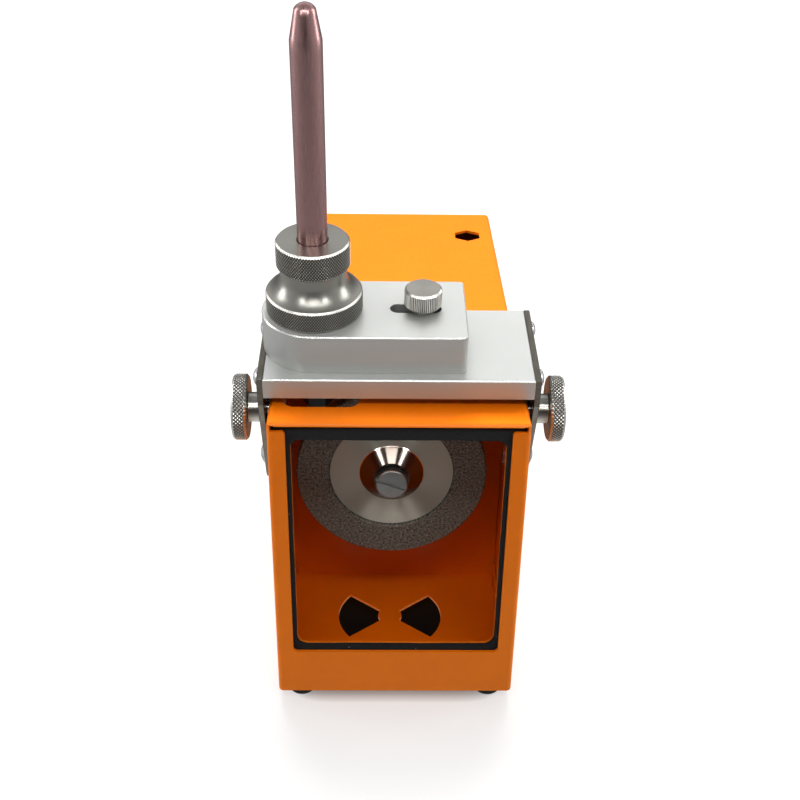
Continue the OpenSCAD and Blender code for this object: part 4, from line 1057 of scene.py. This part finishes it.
@dataclass
class Chuck:
    """Hand-turned spindle ring, the chuck's knurled head and its tail tube, by heights on their axis."""

    ring: float = 20.5
    ring_foot: float = 18.1
    ring_top: float = 27.7
    neck: float = 14.0
    neck_top: float = 39.3
    flare: float = 7.5
    ring_bore: float = 10.03
    head: float = 15.5
    head_foot: float = 39.4
    head_top: float = 51.1
    head_bore: float = 6.225
    body_bore: float = 7.55
    body_top: float = 48.0
    tube: float = 6.2
    tube_foot: float = 48.1
    tube_top: float = 133.7
    taper: float = 4.05
    taper_top: float = 145.2
    dome_top: float = 147.4
    tube_bore: float = 2.5
    bore_end: float = 130.7
    break_edge: float = 0.9
    neck_break: float = 0.3
    bore_break: float = 0.4
    ring_grip: Grip = Grip(Knurl.DIAMOND, 118, 1.5, 0.36, 8)
    head_grip: Grip = Grip(Knurl.DIAMOND, 80, 1.6, 0.4, 8)
    ring_rows: int = 46
    head_rows: int = 58

    def spindle_ring(self, axis: Axis) -> None:
        """Knurled ring that sweeps up into its neck through a hollow arc from its rim to the neck's side."""
        edge = self.break_edge
        hollow = self.neck + self.flare
        start = 180.0 + math.degrees(math.acos((hollow - self.ring + edge) / self.flare))
        rise = self.flare * math.sin(math.radians(start - 180.0))
        ring = Outline(self.ring_bore, self.ring_foot).to(self.ring - edge, self.ring_foot)
        ring.knurled(self.ring, self.ring_foot, self.ring_top, edge, self.ring_rows)
        ring.arc(hollow, self.ring_top + rise, self.flare, start, 180.0, steps=20)
        ring.to(self.neck, self.neck_top - self.neck_break, steps=2)
        ring.to(self.neck - self.neck_break, self.neck_top, Zone.EDGE)
        ring.to(self.ring_bore, self.neck_top)
        skin = turned(axis, ring, grip=self.ring_grip)
        show("spindle_ring_turned", [skin], "spindle_ring", STEEL_GRIP)

    def chuck_head(self, axis: Axis) -> None:
        """Knurled head that screws onto the chuck and holds the tail tube."""
        edge = self.break_edge
        head = Outline(self.body_bore, self.head_foot).to(self.head - edge, self.head_foot, steps=3)
        head.knurled(self.head, self.head_foot, self.head_top, edge, self.head_rows)
        head.to(self.head_bore + self.bore_break, self.head_top, steps=8)
        head.to(self.head_bore, self.head_top - self.bore_break).to(self.head_bore, self.body_top)
        head.to(self.body_bore, self.body_top)
        skin = turned(axis, head, grip=self.head_grip)
        show("chuck_head_turned", [skin], "chuck_head", STEEL_GRIP)

    def tail_tube(self, axis: Axis) -> None:
        """Long tube with a tapered nose and a low dome, whose ball's radius follows from its rim and rise."""
        rise = self.dome_top - self.taper_top
        ball = (self.taper ** 2 + rise ** 2) / (2 * rise)
        start = math.degrees(math.asin((ball - rise) / ball))
        tube = Outline(0.0, self.bore_end).to(self.tube_bore, self.bore_end)
        tube.to(self.tube_bore, self.tube_foot).to(self.tube, self.tube_foot)
        tube.to(self.tube, self.tube_top, steps=24)
        tube.to(self.taper, self.taper_top, steps=6)
        tube.arc(0.0, self.dome_top - ball, ball, start, 90.0, steps=10)
        skin = turned(axis, tube, closed=False)
        show("tail_tube_turned", [skin], "tail_tube", ("rose_anodised",), Crease.CAST)

    def build(self) -> None:
        """Builds and dresses the chuck."""
        axis = Axis.of_joint("spindle_turn")
        self.spindle_ring(axis)
        self.chuck_head(axis)
        self.tail_tube(axis)


@dataclass
class MainsSide:
    """Rear mains inlet with its pins, screws, switch rocker and fuse drawer."""

    moulded: Names = ("mains_inlet", "fuse_drawer")
    plated: Names = ("inlet_screws", "inlet_pins")
    moulded_break: float = 0.3
    plated_break: float = 0.12
    rocker_break: float = 0.4

    def build(self) -> None:
        """Builds and dresses the mains side."""
        for node in self.moulded:
            refined(node, ("black_plastic",), self.moulded_break)
        for node in self.plated:
            refined(node, ("bright_screw",), self.plated_break)
        refined("power_rocker", ("red_rocker",), self.rocker_break, Crease.CAST)


@dataclass
class Inside:
    """Pieces behind the chamber wall and in the bores, which keep their solids and take a finish."""

    nodes_in: dict[str, Names] = field(default_factory=lambda: {
        "bright_screw": ("clinch_nuts", "tie_bolts", "motor_screws", "left_stud", "right_stud",
                         "capacitor_clip"),
        "motor_casting": ("front_bell", "rear_bell", "wheel_flange"),
        "motor_iron": ("stator_core", "rotor_core"),
        "ground_steel": ("motor_shaft", "front_bearing", "rear_bearing"),
        "blued_steel": ("spindle_sleeve", "chuck_body", "retaining_ring", "collet"),
        "copper_winding": ("field_windings",),
        "pale_plastic": ("run_capacitor", "pivot_spacers"),
        "black_plastic": ("cooling_fan", "wiring"),
        "fuse_glass": ("glass_fuse",),
        "bearing_bronze": ("spindle_bush",)})

    def build(self) -> None:
        """Dresses the solids that stay."""
        for finish, nodes in self.nodes_in.items():
            for node in nodes:
                mesh = frame["nodes"][node].data
                mesh.materials.clear()
                mesh.materials.append(FINISHES[finish].material())
                LOG.info("solid %s: %s", node, finish)


@dataclass(frozen=True)
class Lamp:
    """A rectangular soft light: where it hangs, the point that it faces, its size and its power in watts."""

    name: str
    place: Triple
    aim: Triple
    size: tuple[float, float]
    power: float
    matt: bool = True

    def hang(self) -> None:
        """Puts the light into the scene. One that isn't for matt faces is only mirrored by glossy ones."""
        data = bpy.data.lights.new(self.name, "AREA")
        data.shape = "RECTANGLE"
        data.size, data.size_y = self.size
        data.energy = self.power
        lamp = bpy.data.objects.new(self.name, data)
        turn = (Vector(self.aim) - Vector(self.place)).to_track_quat("-Z", "Y").to_matrix().to_4x4()
        lamp.matrix_world = Matrix.Translation(self.place) @ turn
        lamp.visible_diffuse = self.matt
        bpy.context.scene.collection.objects.link(lamp)


@dataclass
class Studio:
    """Pale floor, soft lights and the camera of the photograph."""

    lens: float = 52.98
    place: Triple = (-8.11, -535.36, 405.72)
    pitch: float = 30.03
    yaw: float = 1.14
    roll: float = 0.913
    floor_half: float = 6.0
    floor_tone: Triple = (0.3, 0.3, 0.3)
    floor_glow: float = 0.6
    backdrop_glow: float = 0.88
    backdrop_high: float = 7.0
    backdrop_low: float = -1.0
    backdrop_reach: float = 5.88
    # the shade sizes, tone and fade draw a painted shadow on the floor under the case
    shade_half: Triple = (0.052, 0.116, 1.0)
    shade_tone: Triple = (0.01, 0.01, 0.01)
    shade_fade: tuple[float, float] = (0.3, 1.5)
    room: float = 0.13
    room_above: float = 0.9
    room_below: float = 1.35
    room_sides: float = 0.75
    side_rise: tuple[float, float] = (4.0, 2.2)
    ceiling_power: float = 3.1
    ceiling_spread: float = 30.0
    ceiling_lean: float = 27.0
    contrast: float = 0.8
    lamps: tuple[Lamp, ...] = (
        Lamp("back", (0.0, 1.5, 1.65), (0.0, -0.05, 0.2), (2.6, 1.3), 6.0),
        Lamp("front", (0.05, -1.05, 1.4), (0.0, -0.1, 0.1), (2.0, 0.22), 12.0),
        Lamp("low", (0.0, -1.15, 0.85), (0.0, -0.06, 0.09), (0.6, 0.3), 3.4, False),
        Lamp("left", (-1.0, 0.12, 0.55), (0.0, -0.08, 0.2), (0.35, 0.9), 4.2),
        Lamp("left_front", (-0.75, -1.2, 0.85), (0.0, -0.07, 0.12), (0.2, 0.4), 3.6, False),
        Lamp("right", (1.0, 0.12, 0.55), (0.0, -0.08, 0.2), (0.35, 0.9), 4.2),
        Lamp("right_front", (0.75, -1.2, 0.85), (0.0, -0.07, 0.12), (0.2, 0.4), 3.6, False))

    def camera(self) -> None:
        """Puts the camera where the photograph was taken from."""
        data = bpy.data.cameras.new("camera")
        data.sensor_width = 36.0
        data.sensor_fit = "HORIZONTAL"
        data.lens = self.lens
        data.clip_start = 0.01
        camera = bpy.data.objects.new("camera", data)
        turn = Matrix.Rotation(-math.radians(self.yaw), 4, "Z")
        turn = turn @ Matrix.Rotation(math.radians(90.0 - self.pitch), 4, "X")
        turn = turn @ Matrix.Rotation(math.radians(self.roll), 4, "Z")
        camera.matrix_world = Matrix.Translation(Vector(self.place) * MM) @ turn
        bpy.context.scene.collection.objects.link(camera)
        bpy.context.scene.camera = camera

    def set_piece(self, name: str, points: np.ndarray, close_rows: bool, graph: Graph) -> bpy.types.Object:
        """Puts a grid of points into the scene as a piece of the studio.

        Args:
            name: Name of the piece.
            points: Grid of points in metres.
            close_rows: Whether its last row joins its first.
            graph: Shader graph of its material.

        Returns:
            The new object.
        """
        quads, _ = grid_faces(*points.shape[:2], close_rows, False)
        mesh = bpy.data.meshes.new(name)
        mesh.from_pydata(points.reshape(-1, 3).tolist(), [], quads.tolist())
        mesh.materials.append(graph.material)
        piece = bpy.data.objects.new(name, mesh)
        piece.visible_diffuse = False
        piece.visible_glossy = False
        bpy.context.scene.collection.objects.link(piece)
        return piece

    def floor(self) -> None:
        """A wide flat floor, white, matt and lit from within, with a painted shadow where the case stands on
        it: a dark patch that doesn't glow.

        The patch fades out by the sum of the eighth powers of x and y over its half sizes. The pieces
        are lit by the dim room below, not by the floor.
        """
        side = np.linspace(-self.floor_half, self.floor_half, 9)
        x, y = np.meshgrid(side, side, indexing="ij")
        graph = Graph("floor_white")
        graph.set(Roughness=0.9, Specular_IOR_Level=0.1)
        power = graph.moved(tuple(1.0 / half for half in self.shade_half))
        for _ in range(3):
            square = graph.add("ShaderNodeVectorMath", operation="MULTIPLY")
            graph.link(power, square.inputs[0])
            graph.link(power, square.inputs[1])
            power = square.outputs["Vector"]
        parts = graph.add("ShaderNodeSeparateXYZ")
        graph.link(power, parts.inputs["Vector"])
        away = graph.add("ShaderNodeMath", operation="ADD")
        graph.link(parts.outputs["X"], away.inputs[0])
        graph.link(parts.outputs["Y"], away.inputs[1])
        # painted shadow: the floor's colour and glow fall to dark under the case and fade back out towards
        # the patch's edge
        outside_painted_shadow = graph.span(away.outputs["Value"], *self.shade_fade, 0.0, 1.0)
        graph.feed("Base Color", graph.blend(outside_painted_shadow, self.shade_tone, self.floor_tone))
        graph.set(Emission_Color=WHITE)
        graph.feed("Emission Strength", graph.span(outside_painted_shadow, 0.0, 1.0, 0.0, self.floor_glow))
        self.set_piece("floor", np.stack([x, y, np.zeros_like(x)], axis=-1), False, graph)

    def backdrop(self) -> None:
        """A pale round wall behind the floor, for the camera alone, over angle and height at one radius."""
        angle = np.linspace(0.0, 2.0 * math.pi, 64, endpoint=False)
        high = np.linspace(self.backdrop_low, self.backdrop_high, 5)
        turn, rise = np.meshgrid(angle, high, indexing="ij")
        reach = self.backdrop_reach
        points = np.stack([reach * np.cos(turn), reach * np.sin(turn), rise], axis=-1)
        graph = Graph("backdrop_white")
        graph.set(Base_Color=BLACK, Specular_IOR_Level=0.0)
        graph.set(Emission_Color=WHITE, Emission_Strength=self.backdrop_glow)
        wall = self.set_piece("backdrop", points, True, graph)
        wall.visible_transmission = False
        wall.visible_shadow = False

    def ceiling(self) -> None:
        """An even light over the whole floor from behind the tool, which the metals don't mirror."""
        data = bpy.data.lights.new("ceiling", "SUN")
        data.energy = self.ceiling_power
        data.angle = math.radians(self.ceiling_spread)
        lamp = bpy.data.objects.new("ceiling", data)
        lamp.matrix_world = Matrix.Rotation(-math.radians(self.ceiling_lean), 4, "X")
        lamp.visible_glossy = False
        bpy.context.scene.collection.objects.link(lamp)

    def sky(self) -> None:
        """A dim room, brighter below, above the back and at both sides.

        Its strength is a base, one share of the square of the direction's downward part, one of its upward
        part times how far it leads to the back, and one of the square of its sideways part above the floor.
        """
        world = bpy.data.worlds.new("studio")
        world.use_nodes = True
        tree = world.node_tree

        def math_of(operation: str, *values: object) -> Socket:
            """One step of arithmetic.

            Args:
                operation: Name of the step.
                values: Sockets and constants that it takes.

            Returns:
                The socket of its result.
            """
            node = tree.nodes.new("ShaderNodeMath")
            node.operation = operation
            for slot, value in zip(node.inputs, values):
                if isinstance(value, Socket):
                    tree.links.new(value, slot)
                else:
                    slot.default_value = value
            return node.outputs["Value"]

        parts = tree.nodes.new("ShaderNodeSeparateXYZ")
        tree.links.new(tree.nodes.new("ShaderNodeTexCoord").outputs["Generated"], parts.inputs["Vector"])
        x, y, z = (parts.outputs[name] for name in "XYZ")
        above = math_of("MULTIPLY", math_of("MAXIMUM", z, 0.0), math_of("MULTIPLY_ADD", y, 0.5, 0.5))
        below = math_of("MULTIPLY", math_of("MINIMUM", z, 0.0), z)
        level = math_of("MINIMUM", math_of("MAXIMUM", math_of("MULTIPLY_ADD", z, *self.side_rise), 0.0), 1.0)
        sides = math_of("MULTIPLY", math_of("MULTIPLY", x, x), level)
        total = math_of("MULTIPLY_ADD", above, self.room_above, self.room)
        total = math_of("MULTIPLY_ADD", below, self.room_below, total)
        total = math_of("MULTIPLY_ADD", sides, self.room_sides, total)
        tree.links.new(total, tree.nodes["Background"].inputs["Strength"])
        tree.nodes["Background"].inputs["Color"].default_value = WHITE
        bpy.context.scene.world = world

    def build(self) -> None:
        """Builds the floor, the lights and the camera."""
        self.camera()
        self.floor()
        self.backdrop()
        self.sky()
        self.ceiling()
        for lamp in self.lamps:
            lamp.hang()
        bpy.context.scene.view_settings.view_transform = "Standard"
        bpy.context.scene.view_settings.gamma = self.contrast


def main() -> None:
    """Builds the sub-assemblies in order."""
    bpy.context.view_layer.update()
    for part in (Case(), Wheel(), Table(), Carriage(), Chuck(), MainsSide(), Inside(), Studio()):
        part.build()
        LOG.info("built %s", type(part).__name__)


if __name__ == "__main__":
    main()
